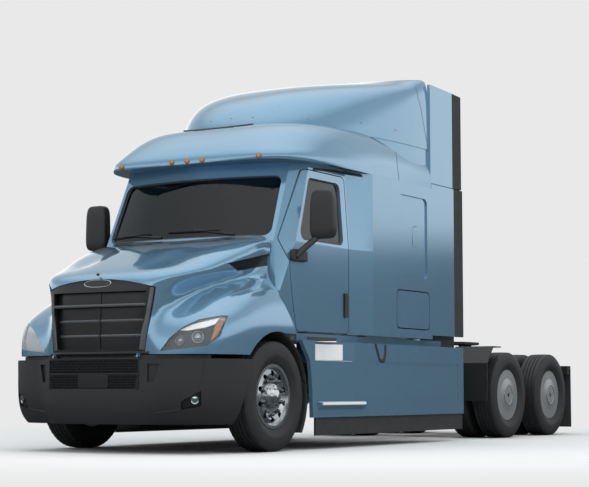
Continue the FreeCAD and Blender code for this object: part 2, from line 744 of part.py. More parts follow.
def cab_section(z, inset, corner, centre_y, back, side_half):
    """Plan of the cab at one height: curved front, pillars, door sides, flare and sleeper sides."""
    corner_half, corner_y = corner
    sleeper_half, rear_y = S.sleeper_half_width.value, Y(S.cab_rear)
    half = [
        (corner_half - inset, corner_y + inset),
        (side_half - inset, corner_y + back + inset),
        (side_half - inset, Y(S.flare_start)),
        (sleeper_half - inset, Y(S.flare_end)),
        (sleeper_half - inset, rear_y - inset),
    ]
    right = [Vector(x, y, z) for x, y in half]
    left = [Vector(-p.x, p.y, p.z) for p in right]
    edges = [Part.Arc(left[0], Vector(0, centre_y + inset, z), right[0]).toShape()]
    loop = right + left[::-1]
    edges += [Part.LineSegment(loop[i], loop[i + 1]).toShape() for i in range(len(loop) - 1)]
    return Part.Wire(edges)


def cab_solid(inset, stretch=0.0):
    """The cab as a solid, ruled between plans at the floor, the cowl, the belt and the roof.

    `inset` brings every wall in. `stretch` carries the walls on past the floor and the roof.
    """
    cowl = (S.cowl_half.value, Y(S.cowl_corner))
    belt = (S.screen_half_low.value, Y(S.screen_corner_low))
    roof = (S.screen_half_top.value, Y(S.screen_corner_top))
    front, crown = Y(S.cowl_front), Y(S.screen_centre_top)
    short, long = S.cowl_back.value, S.pillar_back.value
    door_half, roof_half = S.cab_half_width.value, S.roof_half_width.value
    rise = 0 if stretch else inset
    levels = [
        (S.cab_low.value + rise, cowl, front, short, door_half),
        (S.cowl_top.value, cowl, front, short, door_half),
        (S.belt_height.value, belt, front, long, door_half),
        (S.cab_top.value - rise, roof, crown, long, roof_half),
    ]
    if stretch:
        levels = [(levels[0][0] - stretch,) + levels[0][1:]] + levels
        levels.append((levels[-1][0] + stretch,) + levels[-1][1:])
    return Part.makeLoft([cab_section(z, inset, *plan) for z, *plan in levels], True, True)


def door_outline(gap):
    """Side outline of a door as (y, z) corners, grown by a gap."""
    return [
        (Y(S.door_front_low) - gap, S.door_low.value - gap),
        (Y(S.door_rear) + gap, S.door_low.value - gap),
        (Y(S.door_rear) + gap, S.door_top.value + gap),
        (Y(S.door_top_front) - gap, S.door_top.value + gap),
        (Y(S.door_front_belt) - gap, S.window_sill.value),
        (Y(S.door_front_mid) - gap, S.door_mid_height.value),
    ]


def window_outline(margin):
    return [
        (Y(S.window_front_low) - margin, S.window_sill.value - margin),
        (Y(S.window_rear) + margin, S.window_sill.value - margin),
        (Y(S.window_rear) + margin, S.window_top.value + margin),
        (Y(S.window_front_top) - margin, S.window_top.value + margin),
    ]


def rectangle(front, rear, low, top, gap):
    return [
        (Y(front) - gap, low.value - gap),
        (Y(rear) + gap, low.value - gap),
        (Y(rear) + gap, top.value + gap),
        (Y(front) - gap, top.value + gap),
    ]


def screen_outline(margin):
    """Front view of the windscreen opening as (x, z) corners."""
    low = S.belt_height.value + S.screen_low_margin.value - margin
    top = S.cab_top.value - S.screen_top_margin.value + margin
    bottom = S.screen_half_low.value - S.screen_side_margin.value + margin
    upper = S.screen_half_top.value - S.screen_side_margin.value + margin
    return [(-bottom, low), (bottom, low), (upper, top), (-upper, top)]


def hatch_pin(end, radius):
    """A pin at the front or rear end of the luggage door's top edge, on the line it lifts about."""
    inset, length = S.hatch_pin_inset.value, S.hatch_pin_length.value
    start = Y(S.hatch_rear) - length if end else Y(S.hatch_front)
    return Part.makeCylinder(
        radius, length, Vector(S.sleeper_half_width.value - inset, start, S.hatch_top.value - inset),
        Vector(0, 1, 0)
    )


def make_cab():
    gap = S.panel_gap.value
    wall = S.cab_wall.value
    over = S.cut_over.value
    outer = cab_solid(0)
    inner = cab_solid(wall)
    skin = outer.cut(inner)
    walls = outer.cut(cab_solid(wall, over))
    deep_walls = outer.cut(cab_solid(wall + gap, over))
    reach = S.body_half_width.value + over
    inside = S.cab_half_width.value - S.door_reach.value

    door_hole = rounded_side_prism(door_outline(gap), S.door_corner.value, inside, reach)
    door_block = rounded_side_prism(door_outline(0), S.door_corner.value - gap, inside, reach)
    hatch_corner = S.door_corner.value
    hatch = (S.hatch_front, S.hatch_rear, S.hatch_low, S.hatch_top)
    blank = (S.blank_front, S.blank_rear, S.blank_low, S.blank_top)
    hatch_hole = rounded_side_prism(rectangle(*hatch, gap), hatch_corner - gap, inside, reach)
    hatch_block = rounded_side_prism(rectangle(*hatch, 0), hatch_corner, inside, reach)
    blank_hole = rounded_side_prism(rectangle(*blank, 0), hatch_corner, inside, reach)
    blank_block = rounded_side_prism(rectangle(*blank, -S.seat_gap.value), hatch_corner, inside, reach)
    screen_from, screen_to = Y(S.cowl_front) - wall, Y(S.screen_corner_top) + wall
    screen_hole = rounded_front_prism(screen_outline(0), S.window_corner.value, screen_from, screen_to)

    shell = skin
    for hole in (door_hole, hatch_hole, blank_hole):
        hole = deep_walls.common(hole)
        shell = shell.cut(hole).cut(flip(hole))
    shell = shell.cut(screen_hole)
    # Hinge pins of the luggage doors, and the four mounts that carry the cab on the rails.
    bosses = [hatch_pin(end, S.hatch_pin_radius.value) for end in (0, 1)]
    mount_low = S.frame_top.value + S.seat_gap.value
    for back in (S.mount_front, S.mount_rear):
        bosses.append(
            Part.makeBox(
                S.mount_outer.value - S.mount_inner.value, S.mount_length.value,
                S.cab_low.value + wall / 2 - mount_low, Vector(S.mount_inner.value, Y(back), mount_low),
            )
        )
    bosses += [flip(boss) for boss in bosses]
    keep(feature("cab_shell_form", shell.multiFuse(bosses)), "cab_shell")

    # Door: the same skin inside the door outline, less its window and the rubber round the glass.
    door = walls.common(door_block)
    window = rounded_side_prism(window_outline(0), S.window_corner.value, inside, reach)
    door = door.cut(window)
    keep(feature("door_left_form", door), "door_left")
    keep(feature("door_right_form", flip(door)), "door_right")

    glass_out = cab_solid(wall / 2 - S.glass_wall.value / 2, over)
    glass_in = cab_solid(wall / 2 + S.glass_wall.value / 2, over * 2)
    glass_skin = glass_out.cut(glass_in)
    pane = rounded_side_prism(window_outline(-S.seat_gap.value), S.window_corner.value, inside, reach)
    door_glass = glass_skin.common(pane)
    keep(feature("door_glass_left_form", door_glass), "door_glass_left")
    keep(feature("door_glass_right_form", flip(door_glass)), "door_glass_right")

    screen_pane = rounded_front_prism(
        screen_outline(-S.seat_gap.value), S.window_corner.value, screen_from, screen_to
    )
    keep(feature("windscreen_form", glass_skin.common(screen_pane)), "windscreen")

    hatch_panel = walls.common(hatch_block)
    for end in (0, 1):
        hatch_panel = hatch_panel.cut(hatch_pin(end, S.hatch_pin_radius.value + S.bearing_gap.value))
    keep(feature("luggage_door_left_form", hatch_panel), "luggage_door_left")
    keep(feature("luggage_door_right_form", flip(hatch_panel)), "luggage_door_right")

    blank_skin = cab_solid(S.glass_wall.value * 2, over).cut(cab_solid(wall, over * 2))
    blank_panel = blank_skin.common(blank_block)
    keep(
        together(
            "window_blanks",
            [feature("window_blank_left", blank_panel), feature("window_blank_right", flip(blank_panel))],
        ),
        "sleeper_window_blanks",
    )


make_cab()

# Moulded nose, roof and fairing shells, lofted through plans at rising heights.
hood_sizes = {
    "hood_wall": 30, "hood_low": 885, "hood_rear": 235, "hood_rear_low": 1860, "hood_waist": 112,
    "hood_waist_height": 1430, "hood_tail": 330, "hood_tail_low": 1095, "arch_radius": 598,
    "grille_half_top": 600, "grille_half_low": 520, "grille_low": 905, "grille_top": 1485,
    "grille_rise": 83, "grille_brow": 35, "grille_panel_wall": 8, "grille_frame_low": 40,
    "slat_depth": 60, "slat_height": 28, "grille_frame": 75, "roof_wall": 30, "fairing_wall": 25,
}
S.add(hood_sizes)
NOSE_POINTS = 20


def nose_wire(z, front, rear, half_width, squareness):
    """A plan with a rounded nose: half a superellipse closed by a straight rear edge."""
    points = []
    for i in range(NOSE_POINTS + 1):
        angle = math.pi * i / NOSE_POINTS
        c, s = math.cos(angle), max(math.sin(angle), 0.0)
        x = -math.copysign(abs(c) ** (2 / squareness), c) * half_width
        y = rear - (rear - front) * s ** (2 / squareness)
        points.append(Vector(x, y, z))
    curve = Part.BSplineCurve()
    curve.interpolate(points)
    return Part.Wire([curve.toShape(), Part.LineSegment(points[-1], points[0]).toShape()])


def nose_loft(levels, rear, inset=0.0, drop=0.0, open_rear=0.0, open_low=0.0):
    """A lofted nose. `levels` are rows of height, front, half width and squareness."""
    wires = []
    for i, (z, front, half, square) in enumerate(levels):
        low = open_low if i == 0 else drop
        wires.append(nose_wire(z - low, front + inset, rear + open_rear, half - inset, square))
    return Part.makeLoft(wires, True, False, False, 3)


# Hood plans from its lower edge to the cowl. Each is the blended outline of three rounded noses: the
# body that carries the grille, the wider fenders, and near the screen the raised middle panel. `z` is
# a plan's height, `f` a nose's front edge behind the steer axle and `w` its half width.
hood_plan_sizes = {
    "hood_z1": 1000, "hood_z2": 1100, "hood_z3": 1180, "hood_z4": 1240, "hood_z5": 1300,
    "hood_z6": 1360, "hood_z7": 1420, "hood_z8": 1480, "hood_z9": 1530, "hood_z10": 1580,
    "hood_z11": 1620, "hood_z12": 1660, "hood_z13": 1720, "hood_z14": 1780, "hood_z15": 1840,
    "hood_z16": 1900, "hood_z17": 1950, "hood_z18": 1985, "hood_z19": 2010, "hood_z20": 2035,
    "hood_f0": -1178, "hood_f1": -1180, "hood_f2": -1180, "hood_f3": -1180, "hood_f4": -1179,
    "hood_f5": -1178, "hood_f6": -1176, "hood_f7": -1173, "hood_f8": -1169, "hood_f9": -1163,
    "hood_f10": -1145, "hood_f11": -1095, "hood_f12": -990, "hood_f13": -800, "hood_f14": -640,
    "hood_f15": -490, "hood_f16": -330, "hood_f17": -180, "hood_f18": -50, "hood_f19": 80,
    "hood_f20": 160, "hood_w0": 640, "hood_w1": 648, "hood_w2": 655, "hood_w3": 662, "hood_w4": 668,
    "hood_w5": 676, "hood_w6": 690, "hood_w7": 710, "hood_w8": 750, "hood_w9": 795, "hood_w10": 845,
    "hood_w11": 885, "hood_w12": 920, "hood_w13": 950, "hood_w14": 965, "hood_w15": 975,
    "hood_w16": 980, "hood_w17": 978, "hood_w18": 965, "hood_w19": 945, "hood_w20": 910,
}
S.add(hood_plan_sizes)
fender_plan_sizes = {
    "fender_f0": -1095, "fender_f1": -1092, "fender_f2": -1070, "fender_f3": -1030, "fender_f4": -975,
    "fender_f5": -890, "fender_f6": -800, "fender_f7": -700, "fender_f8": -580, "fender_f9": -430,
    "fender_f10": -300, "fender_f11": -200, "fender_f12": -150, "fender_f13": -50, "fender_f14": 0,
    "fender_f15": 40, "fender_f16": 60, "fender_f17": 80, "fender_f18": 100, "fender_f19": 120,
    "fender_f20": 160, "fender_w0": 1205, "fender_w1": 1212, "fender_w2": 1212, "fender_w3": 1209,
    "fender_w4": 1204, "fender_w5": 1196, "fender_w6": 1184, "fender_w7": 1166, "fender_w8": 1136,
    "fender_w9": 1098, "fender_w10": 1050, "fender_w11": 1025, "fender_w12": 1012, "fender_w13": 1003,
    "fender_w14": 996, "fender_w15": 990, "fender_w16": 985, "fender_w17": 980, "fender_w18": 960,
    "fender_w19": 930, "fender_w20": 910,
}
S.add(fender_plan_sizes)
crown_plan_sizes = {
    "crown_f12": -1010, "crown_f13": -860, "crown_f14": -700, "crown_f15": -545, "crown_f16": -380,
    "crown_f17": -215, "crown_f18": -70, "crown_f19": 60, "crown_f20": 150, "crown_w12": 420,
    "crown_w13": 430, "crown_w14": 440, "crown_w15": 455, "crown_w16": 475, "crown_w17": 500,
    "crown_w18": 530, "crown_w19": 560, "crown_w20": 560,
}
S.add(crown_plan_sizes)
HOOD_SQUARE_SHARES = (
    8.0, 8.0, 8.0, 8.0, 8.0, 8.0, 7.5, 7.0, 6.2, 5.6,
    5.0, 4.6, 4.5, 4.8, 5.2, 5.4, 5.2, 5.0, 4.6, 4.2, 4.0,
)
FENDER_SQUARE_SHARES = (
    6.0, 6.0, 6.0, 6.0, 5.8, 5.4, 5.0, 4.6, 4.2, 4.0,
    4.0, 4.0, 4.0, 4.0, 4.0, 4.0, 4.0, 4.0, 4.0, 4.0, 4.0,
)
CROWN_SQUARE_SHARE = 8.0
FIRST_CROWN = 12
ARCH_SHARES = (1.0, 0.75, 0.5, 0.25, 0.0)
GRILLE_BAYS = 4
PLAN_POINTS = 44
SPLINE_DEGREE = 3
blend_sizes = {
    "fender_blend": 60, "crown_blend": 15,
}
S.add(blend_sizes)


def nose_reach(angle, half_width, length, squareness):
    """How far a rounded nose reaches from the middle of its rear edge, in one direction."""
    across = (abs(math.cos(angle)) / half_width) ** squareness
    ahead = (abs(math.sin(angle)) / length) ** squareness
    return (across + ahead) ** (-1 / squareness)


def blended(a, b, width):
    """The greater of two reaches, with a fillet where they meet."""
    overlap = max(width - abs(a - b), 0.0)
    return max(a, b) + overlap * overlap / (4 * width)


def nose_plan(noses, rear, height):
    """Points of one plan, from its right rear corner round the blended noses to the left one."""
    points = []
    for i in range(PLAN_POINTS + 1):
        angle = math.pi * i / PLAN_POINTS
        reach = 0.0
        for half_width, front, squareness, blend in noses:
            nose = nose_reach(angle, half_width.value, rear - Y(front), squareness)
            reach = blended(reach, nose, blend.value) if reach else nose
        points.append(Vector(-reach * math.cos(angle), rear - reach * math.sin(angle), height.value))
    return points


def hood_plans():
    """The hood's plans from its lower edge to the cowl."""
    plans = []
    for level, (square, fender_square) in enumerate(zip(HOOD_SQUARE_SHARES, FENDER_SQUARE_SHARES)):
        noses = [
            (getattr(S, f"hood_w{level}"), getattr(S, f"hood_f{level}"), square, S.fender_blend),
            (getattr(S, f"fender_w{level}"), getattr(S, f"fender_f{level}"), fender_square, S.fender_blend),
        ]
        if level >= FIRST_CROWN:
            crown = getattr(S, f"crown_w{level}"), getattr(S, f"crown_f{level}")
            noses.append((*crown, CROWN_SQUARE_SHARE, S.crown_blend))
        height = getattr(S, f"hood_z{level}") if level else S.hood_low
        plans.append(nose_plan(noses, Y(S.hood_tail), height))
    return plans


def even_knots(count):
    """Evenly spaced knots, and how often each counts, for a spline over that many poles."""
    spans = count - SPLINE_DEGREE
    knots = [i / spans for i in range(spans + 1)]
    ends = [SPLINE_DEGREE + 1]
    return knots, ends + [1] * (spans - 1) + ends


def sunk_surface(plans, depth):
    """A spline surface with the plans as its poles, each sunk by a depth along the normal there."""
    top, end = len(plans) - 1, PLAN_POINTS
    poles = []
    for j, plan in enumerate(plans):
        line = []
        for i, point in enumerate(plan):
            along = plan[min(i + 1, end)] - plan[max(i - 1, 0)]
            rise = plans[min(j + 1, top)][i] - plans[max(j - 1, 0)][i]
            line.append(point - along.cross(rise).normalize() * depth)
        poles.append(line)
    up_knots, up_counts = even_knots(len(plans))
    round_knots, round_counts = even_knots(PLAN_POINTS + 1)
    surface = Part.BSplineSurface()
    surface.buildFromPolesMultsKnots(
        poles, up_counts, round_counts, up_knots, round_knots, False, False, SPLINE_DEGREE, SPLINE_DEGREE
    )
    return surface


def moulded_skin(plans, outer_depth, inner_depth):
    """A solid layer between two depths under the surface over the plans."""
    outer, inner = sunk_surface(plans, outer_depth), sunk_surface(plans, inner_depth)
    u0, u1, v0, v1 = outer.bounds()
    faces = [outer.toShape(), inner.toShape()]
    for edge in (0, 1):
        faces.append(Part.makeRuledSurface(
            outer.uIso((u0, u1)[edge]).toShape(), inner.uIso((u0, u1)[edge]).toShape()
        ))
        faces.append(Part.makeRuledSurface(
            outer.vIso((v0, v1)[edge]).toShape(), inner.vIso((v0, v1)[edge]).toShape()
        ))
    shell = Part.makeShell(faces)
    shell.sewShape()
    solid = Part.makeSolid(shell)
    if solid.Volume < 0:
        solid.reverse()
    return solid


# The headlamps are outlined as seen from the truck's front corner: `across` is measured to the
# left in that view, from the middle of the steer axle.
lamp_and_vent_sizes = {
    "lamp_turn": 30, "lamp_near": -1450, "lamp_far": -1100, "lamp_toe_across": 17,
    "lamp_toe_height": 914, "lamp_sole_across": 248, "lamp_sole_height": 933, "lamp_heel_across": 442,
    "lamp_heel_height": 957, "lamp_cheek_across": 556, "lamp_cheek_height": 1046,
    "lamp_tip_across": 617, "lamp_tip_height": 1228, "lamp_crest_across": 568,
    "lamp_crest_height": 1230, "lamp_brow_across": 362, "lamp_brow_height": 1190,
    "lamp_bridge_across": 218, "lamp_bridge_height": 1121, "lamp_nose_across": 99,
    "lamp_nose_height": 1022, "vent_front": -417, "vent_tip_height": 1727, "vent_chin": -242,
    "vent_chin_height": 1665, "vent_rear": 228, "vent_rear_low": 1750, "vent_rear_top": 1862,
    "vent_depth": 12, "vent_rim": 14, "hood_pivot_y": -1180, "hood_pivot_z": 862, "hood_pin_radius": 8,
    "hood_ear_radius": 17, "hood_ear_half": 466, "hood_ear_wall": 16,
}
S.add(lamp_and_vent_sizes)
LAMP_CORNERS = ("toe", "sole", "heel", "cheek", "tip", "crest", "brow", "bridge", "nose")


def corner_prism(corners, degrees, gap=0.0):
    """An outline, as seen from the truck's front left corner, carried through the front of the truck."""
    turn = math.radians(degrees)
    across = Vector(math.cos(turn), math.sin(turn), 0)
    ahead = Vector(-math.sin(turn), math.cos(turn), 0)
    start = Vector(0, axle_y.value, 0) + ahead * S.lamp_near.value
    points = [start + across * x.value + Vector(0, 0, z.value) for x, z in corners]
    wire = Part.makePolygon(points + [points[0]])
    if gap:
        wire = wire.makeOffset2D(gap, 2)
    return Part.Face(wire).extrude(ahead * (S.lamp_far - S.lamp_near).value)


def lamp_prism(gap):
    """The left headlamp's outline carried through the bonnet."""
    corners = [
        (getattr(S, f"lamp_{name}_across"), getattr(S, f"lamp_{name}_height")) for name in LAMP_CORNERS
    ]
    return corner_prism(corners, S.lamp_turn.value, gap)


def vent_outline(gap):
    """Side view of the left hood vent as (y, z) corners, from its front tip."""
    return [
        (Y(S.vent_front) - gap * 3, S.vent_tip_height.value),
        (Y(S.vent_chin), S.vent_chin_height.value - gap),
        (Y(S.vent_rear) + gap, S.vent_rear_low.value - gap),
        (Y(S.vent_rear) + gap, S.vent_rear_top.value + gap),
    ]


def grille_outline(margin):
    """Front view of the grille opening as (x, z) corners, with its top edge arched."""
    low, top = S.grille_low.value - margin, S.grille_top.value + margin
    bottom, upper = S.grille_half_low.value + margin, S.grille_half_top.value + margin
    arch = [(upper * share, top + S.grille_rise.value * (1 - share * share)) for share in ARCH_SHARES]
    return [(-bottom, low), (bottom, low)] + arch + [(-x, z) for x, z in arch[-2::-1]]


def make_hood():
    gap = S.seat_gap.value
    wall = S.hood_wall.value
    over = S.cut_over.value
    rear = Y(S.hood_tail)
    plans = hood_plans()
    whole = moulded_skin(plans, 0, wall)
    reach = S.body_half_width.value + over
    behind = side_prism(
        [(rear + over, S.hood_low.value - over), (rear + over, S.hood_z20.value + over),
         (Y(S.hood_rear), S.hood_z20.value + over), (Y(S.hood_rear), S.hood_rear_low.value),
         (Y(S.hood_waist), S.hood_waist_height.value),
         (rear, S.hood_tail_low.value), (rear, S.hood_low.value - over)],
        -reach, reach,
    )
    under = side_prism(
        [(axle_y.value, S.hood_low.value - over), (rear + over, S.hood_low.value - over),
         (rear + over, S.hood_tail_low.value), (axle_y.value, S.hood_tail_low.value)],
        -reach, reach,
    )
    cab = cab_solid(-S.panel_gap.value, over)
    skin = whole.cut(behind).cut(under).cut(cab)
    arch = Part.makeCylinder(
        S.arch_radius.value, S.body_half_width.value * 2 + over * 2,
        Vector(-S.body_half_width.value - over, axle_y.value, S.ground_to_axle.value), Vector(1, 0, 0),
    )
    nose_front, nose_back = Y(S.hood_f0) - over * 3, Y(S.hood_f11) + wall * 4
    grille_hole = front_prism(grille_outline(0), nose_front, nose_back)
    lamp_hole, lamp_block = lamp_prism(0), lamp_prism(-gap)
    vent_in, vent_out = S.hood_w20.value - wall * 4, S.body_half_width.value + over
    vent_hole = side_prism(vent_outline(0), vent_in, vent_out)
    vent_block = side_prism(vent_outline(-gap), vent_in, vent_out)

    hood = skin.cut(arch).cut(grille_hole)
    for hole in (lamp_hole, vent_hole):
        hood = hood.cut(hole).cut(flip(hole))

    # Two ears hang from the front lip round the tilt pins.
    pivot_y, pivot_z = Y(S.hood_pivot_y), S.hood_pivot_z.value
    ear_from = S.hood_ear_half.value
    for x in (ear_from, -ear_from - S.hood_ear_wall.value):
        eye = Part.makeCylinder(
            S.hood_ear_radius.value, S.hood_ear_wall.value, Vector(x, pivot_y, pivot_z), Vector(1, 0, 0)
        )
        neck = Part.makeBox(
            S.hood_ear_wall.value, S.hood_ear_radius.value * 2, S.hood_low.value + wall / 4 - pivot_z,
            Vector(x, pivot_y - S.hood_ear_radius.value / 2, pivot_z),
        )
        hood = hood.fuse(neck).fuse(eye)
    pin_hole = Part.makeCylinder(
        S.hood_pin_radius.value + S.bearing_gap.value, ear_from * 2 + over * 2,
        Vector(-ear_from - over, pivot_y, pivot_z), Vector(1, 0, 0),
    )
    keep(feature("hood_form", hood.cut(pin_hole)), "hood")

    lamp = skin.common(lamp_block)
    keep(
        together("lamps", [feature("headlamp_left", lamp), feature("headlamp_right", flip(lamp))]),
        "headlamps",
    )

    # Each vent is a rim flush with the bonnet round a sunk mesh panel.
    rim = moulded_skin(plans, wall / 4, wall).common(vent_block)
    pocket = side_prism(vent_outline(-S.vent_rim.value), vent_in, vent_out)
    vent = rim.cut(pocket.common(moulded_skin(plans, -wall, wall / 4 + S.vent_depth.value))).cut(cab)

    # Grille: a wide frame in the nose opening with slats, a centre post and a closed panel behind.
    frame_outer = front_prism(grille_outline(-gap), nose_front, nose_back)
    low_half = S.grille_half_low.value - S.grille_frame_low.value
    top_half = S.grille_half_top.value - S.grille_frame.value
    low, top = S.grille_low.value + S.slat_height.value, S.grille_top.value - S.grille_brow.value
    frame_inner = front_prism(
        [(-low_half, low), (low_half, low), (top_half, top), (-top_half, top)], nose_front, nose_back
    )
    front_depth, back_depth = wall / 4, wall / 4 + S.slat_depth.value
    nose_block = moulded_skin(plans, front_depth, back_depth + S.grille_panel_wall.value)
    pieces = [nose_block.common(frame_outer.cut(frame_inner))]
    slat_block = moulded_skin(plans, front_depth * 2, back_depth + S.grille_panel_wall.value / 2)
    step = (top - S.grille_low.value) / GRILLE_BAYS
    for i in range(1, GRILLE_BAYS):
        z = S.grille_low.value + step * i
        slat = front_prism(
            [(-S.grille_half_top.value, z), (S.grille_half_top.value, z),
             (S.grille_half_top.value, z + S.slat_height.value),
             (-S.grille_half_top.value, z + S.slat_height.value)],
            nose_front, nose_back,
        ).common(frame_outer)
        pieces.append(slat_block.common(slat))
    post_half = S.slat_height.value / 4
    post = front_prism([(-post_half, low), (post_half, low), (post_half, top), (-post_half, top)],
                       nose_front, nose_back)
    post_block = moulded_skin(plans, wall * 2, back_depth + S.grille_panel_wall.value / 2)
    pieces.append(post_block.common(post))
    panel_block = moulded_skin(plans, back_depth, back_depth + S.grille_panel_wall.value)
    pieces.append(panel_block.common(frame_outer))
    grille = pieces[0].multiFuse(pieces[1:])
    keep(
        together(
            "grille_and_vents",
            [feature("grille_form", grille), feature("vent_left", vent), feature("vent_right", flip(vent))],
        ),
        "grille",
    )


def make_hood_brackets():
    """Arms from the rail ends forward to the tilt pins of the hood."""
    y, z = axle_y + S.hood_pivot_y, S.hood_pivot_z
    x0 = S.frame_half_width + S.seat_gap
    x1 = S.hood_ear_half - S.knuckle_gap * 2
    reach = S.hood_ear_radius
    outline = [
        (y - reach * 0.7, z - reach * 0.5), (y, z - reach), (axle_y - S.frame_front * 0.95,
                                                             z - S.rail_flange / 2),
        (axle_y - S.frame_front * 0.85, z - S.rail_flange / 2), (axle_y - S.frame_front * 0.85, z),
        (y + reach, z + reach * 0.55), (y - reach * 0.7, z + reach * 0.5),
    ]
    arm = padded("hood_arm", "YZ_Plane", outline, x1 - x0, offset=x0)
    pin = rod("hood_pin", S.hood_pin_radius, S.hood_ear_wall + S.knuckle_gap * 4, x1 - S.knuckle_gap, y,
              z, "X")
    bracket = fuse("hood_bracket", [arm, pin])
    keep(together("hood_bracket_pair", [bracket, mirror(bracket, "hood_bracket_right")]), "hood_brackets")


make_hood()
make_hood_brackets()

# Roof cap over the cab and the air deflector on it.
roof_sizes = {
    "soffit_front": 760, "soffit_rear": 3080, "soffit_half": 960, "cap_z0": 2786, "cap_z1": 2860,
    "cap_z2": 2960, "cap_z3": 3060, "cap_z4": 3160, "cap_z5": 3240, "cap_z6": 3300, "cap_f0": 248,
    "cap_f1": 262, "cap_f2": 350, "cap_f3": 470, "cap_f4": 620, "cap_f5": 900, "cap_f6": 1300,
    "cap_w0": 1208, "cap_w1": 1206, "cap_w2": 1192, "cap_w3": 1165, "cap_w4": 1120, "cap_w5": 1050,
    "cap_w6": 960, "deflector_z0": 3215, "deflector_z1": 3300, "deflector_z2": 3420,
    "deflector_z3": 3570, "deflector_z4": 3690, "deflector_z5": 3850, "deflector_z6": 3950,
    "deflector_z7": 4010, "deflector_f0": 870, "deflector_f1": 905, "deflector_f2": 1000,
    "deflector_f3": 1200, "deflector_f4": 1475, "deflector_f5": 2150, "deflector_f6": 2700,
    "deflector_f7": 3120, "deflector_w0": 1176, "deflector_w1": 1176, "deflector_w2": 1176,
    "deflector_w3": 1175, "deflector_w4": 1173, "deflector_w5": 1165, "deflector_w6": 1145,
    "deflector_w7": 1075,
}
S.add(roof_sizes)
marker_sizes = {
    "marker_half": 820, "marker_height": 2815, "marker_radius": 26,
}
S.add(marker_sizes)
MARKER_SHARES = (0.0, 0.22, 1.0)
CAP_SQUARE_SHARES = (7.0, 7.0, 6.0, 5.5, 5.0, 4.5, 4.0)
DEFLECTOR_SQUARE_SHARES = (2.4, 2.4, 2.4, 2.4, 2.4, 2.4, 2.5, 2.6)


def levels_of(name, squares):
    """Rows of height, front, half width and squareness from the sheet's cells of one moulding."""
    return [
        (getattr(S, f"{name}_z{i}").value, Y(getattr(S, f"{name}_f{i}")),
         getattr(S, f"{name}_w{i}").value, square)
        for i, square in enumerate(squares)
    ]


def make_roof():
    over, wall, gap = S.cut_over.value, S.roof_wall.value, S.seat_gap.value
    rear = Y(S.cab_rear)
    cap_levels = levels_of("cap", CAP_SQUARE_SHARES)
    cap = nose_loft(cap_levels, rear)
    inner = nose_loft(cap_levels, rear - wall, inset=wall, drop=wall, open_low=-wall)
    well = Part.makeBox(
        S.soffit_half.value * 2, Y(S.soffit_rear) - Y(S.soffit_front), wall + over * 2,
        Vector(-S.soffit_half.value, Y(S.soffit_front), S.cap_z0.value - over),
    )
    keep(feature("roof_cap_form", cap.cut(inner).cut(well)), "roof_cap")

    # The deflector's lower edge follows the cap, so it is cut by the cap's own form.
    seat = nose_loft(
        [(z + gap, front - gap, half + gap, square) for z, front, half, square in cap_levels], rear + gap
    )
    levels = levels_of("deflector", DEFLECTOR_SQUARE_SHARES)
    wall = S.fairing_wall.value
    outer = nose_loft(levels, rear)
    inner = nose_loft(levels, rear, inset=wall, drop=wall, open_rear=over, open_low=over)
    keep(feature("roof_fairing_form", outer.cut(inner).cut(seat)), "roof_fairing")

    # Five domed marker lamps are moved back until each is seated on the cap's front lip.
    lamps = []
    for i, share in enumerate(MARKER_SHARES):
        foot = Vector(S.marker_half.value * share, Y(S.cap_f0) - wall, S.marker_height.value)
        dome = Part.makeSphere(S.marker_radius.value, foot, Vector(0, -1, 0), 0, 90)
        for _ in range(3):
            dome.translate(Vector(0, dome.distToShape(cap)[0] - gap, 0))
        lamps.append(feature(f"marker_{i}", dome))
        if share:
            lamps.append(feature(f"marker_{i}_right", flip(dome)))
    keep(together("markers", lamps), "marker_lamps")


make_roof()

# Side extenders close the gap behind the sleeper, each with a rubber edge.
extender_sizes = {
    "extender_rear": 3790, "rubber_rear": 4022, "extender_wall": 35, "extender_low": 1165,
    "extender_top": 2835, "extender_upper_low": 2847, "extender_upper_front": 3950,
    "extender_upper_rear": 3935,
}
S.add(extender_sizes)


def make_extenders():
    x0, x1 = S.sleeper_half_width - S.extender_wall, S.sleeper_half_width
    front, rear, edge = axle_y + S.cab_rear + S.seat_gap, axle_y + S.extender_rear, axle_y + S.rubber_rear
    lower = box("extender_lower", (x0, x1), (front, rear), (S.extender_low, S.extender_top))
    outline = [
        (front, S.extender_upper_low), (rear, S.extender_upper_low),
        (rear, S.extender_upper_rear), (front, S.extender_upper_front),
    ]
    upper = padded("extender_upper", "YZ_Plane", outline, S.extender_wall, offset=x0 - S.rail_wall)
    left = [lower, upper]
    keep(together("extenders", left + [mirror(p, p.Name + "_right") for p in left]), "side_extenders")

    rubber_low = box("rubber_lower", (x0, x1), (rear, edge), (S.extender_low, S.extender_top))
    outline = [
        (rear, S.extender_upper_low), (edge, S.extender_upper_low),
        (edge, S.extender_upper_rear - S.rail_wall), (rear, S.extender_upper_rear),
    ]
    rubber_up = padded("rubber_upper", "YZ_Plane", outline, S.extender_wall, offset=x0 - S.rail_wall)
    left = [rubber_low, rubber_up]
    keep(together("extender_rubber_strips", left + [mirror(p, p.Name + "_right") for p in left]),
         "extender_rubbers")


make_extenders()

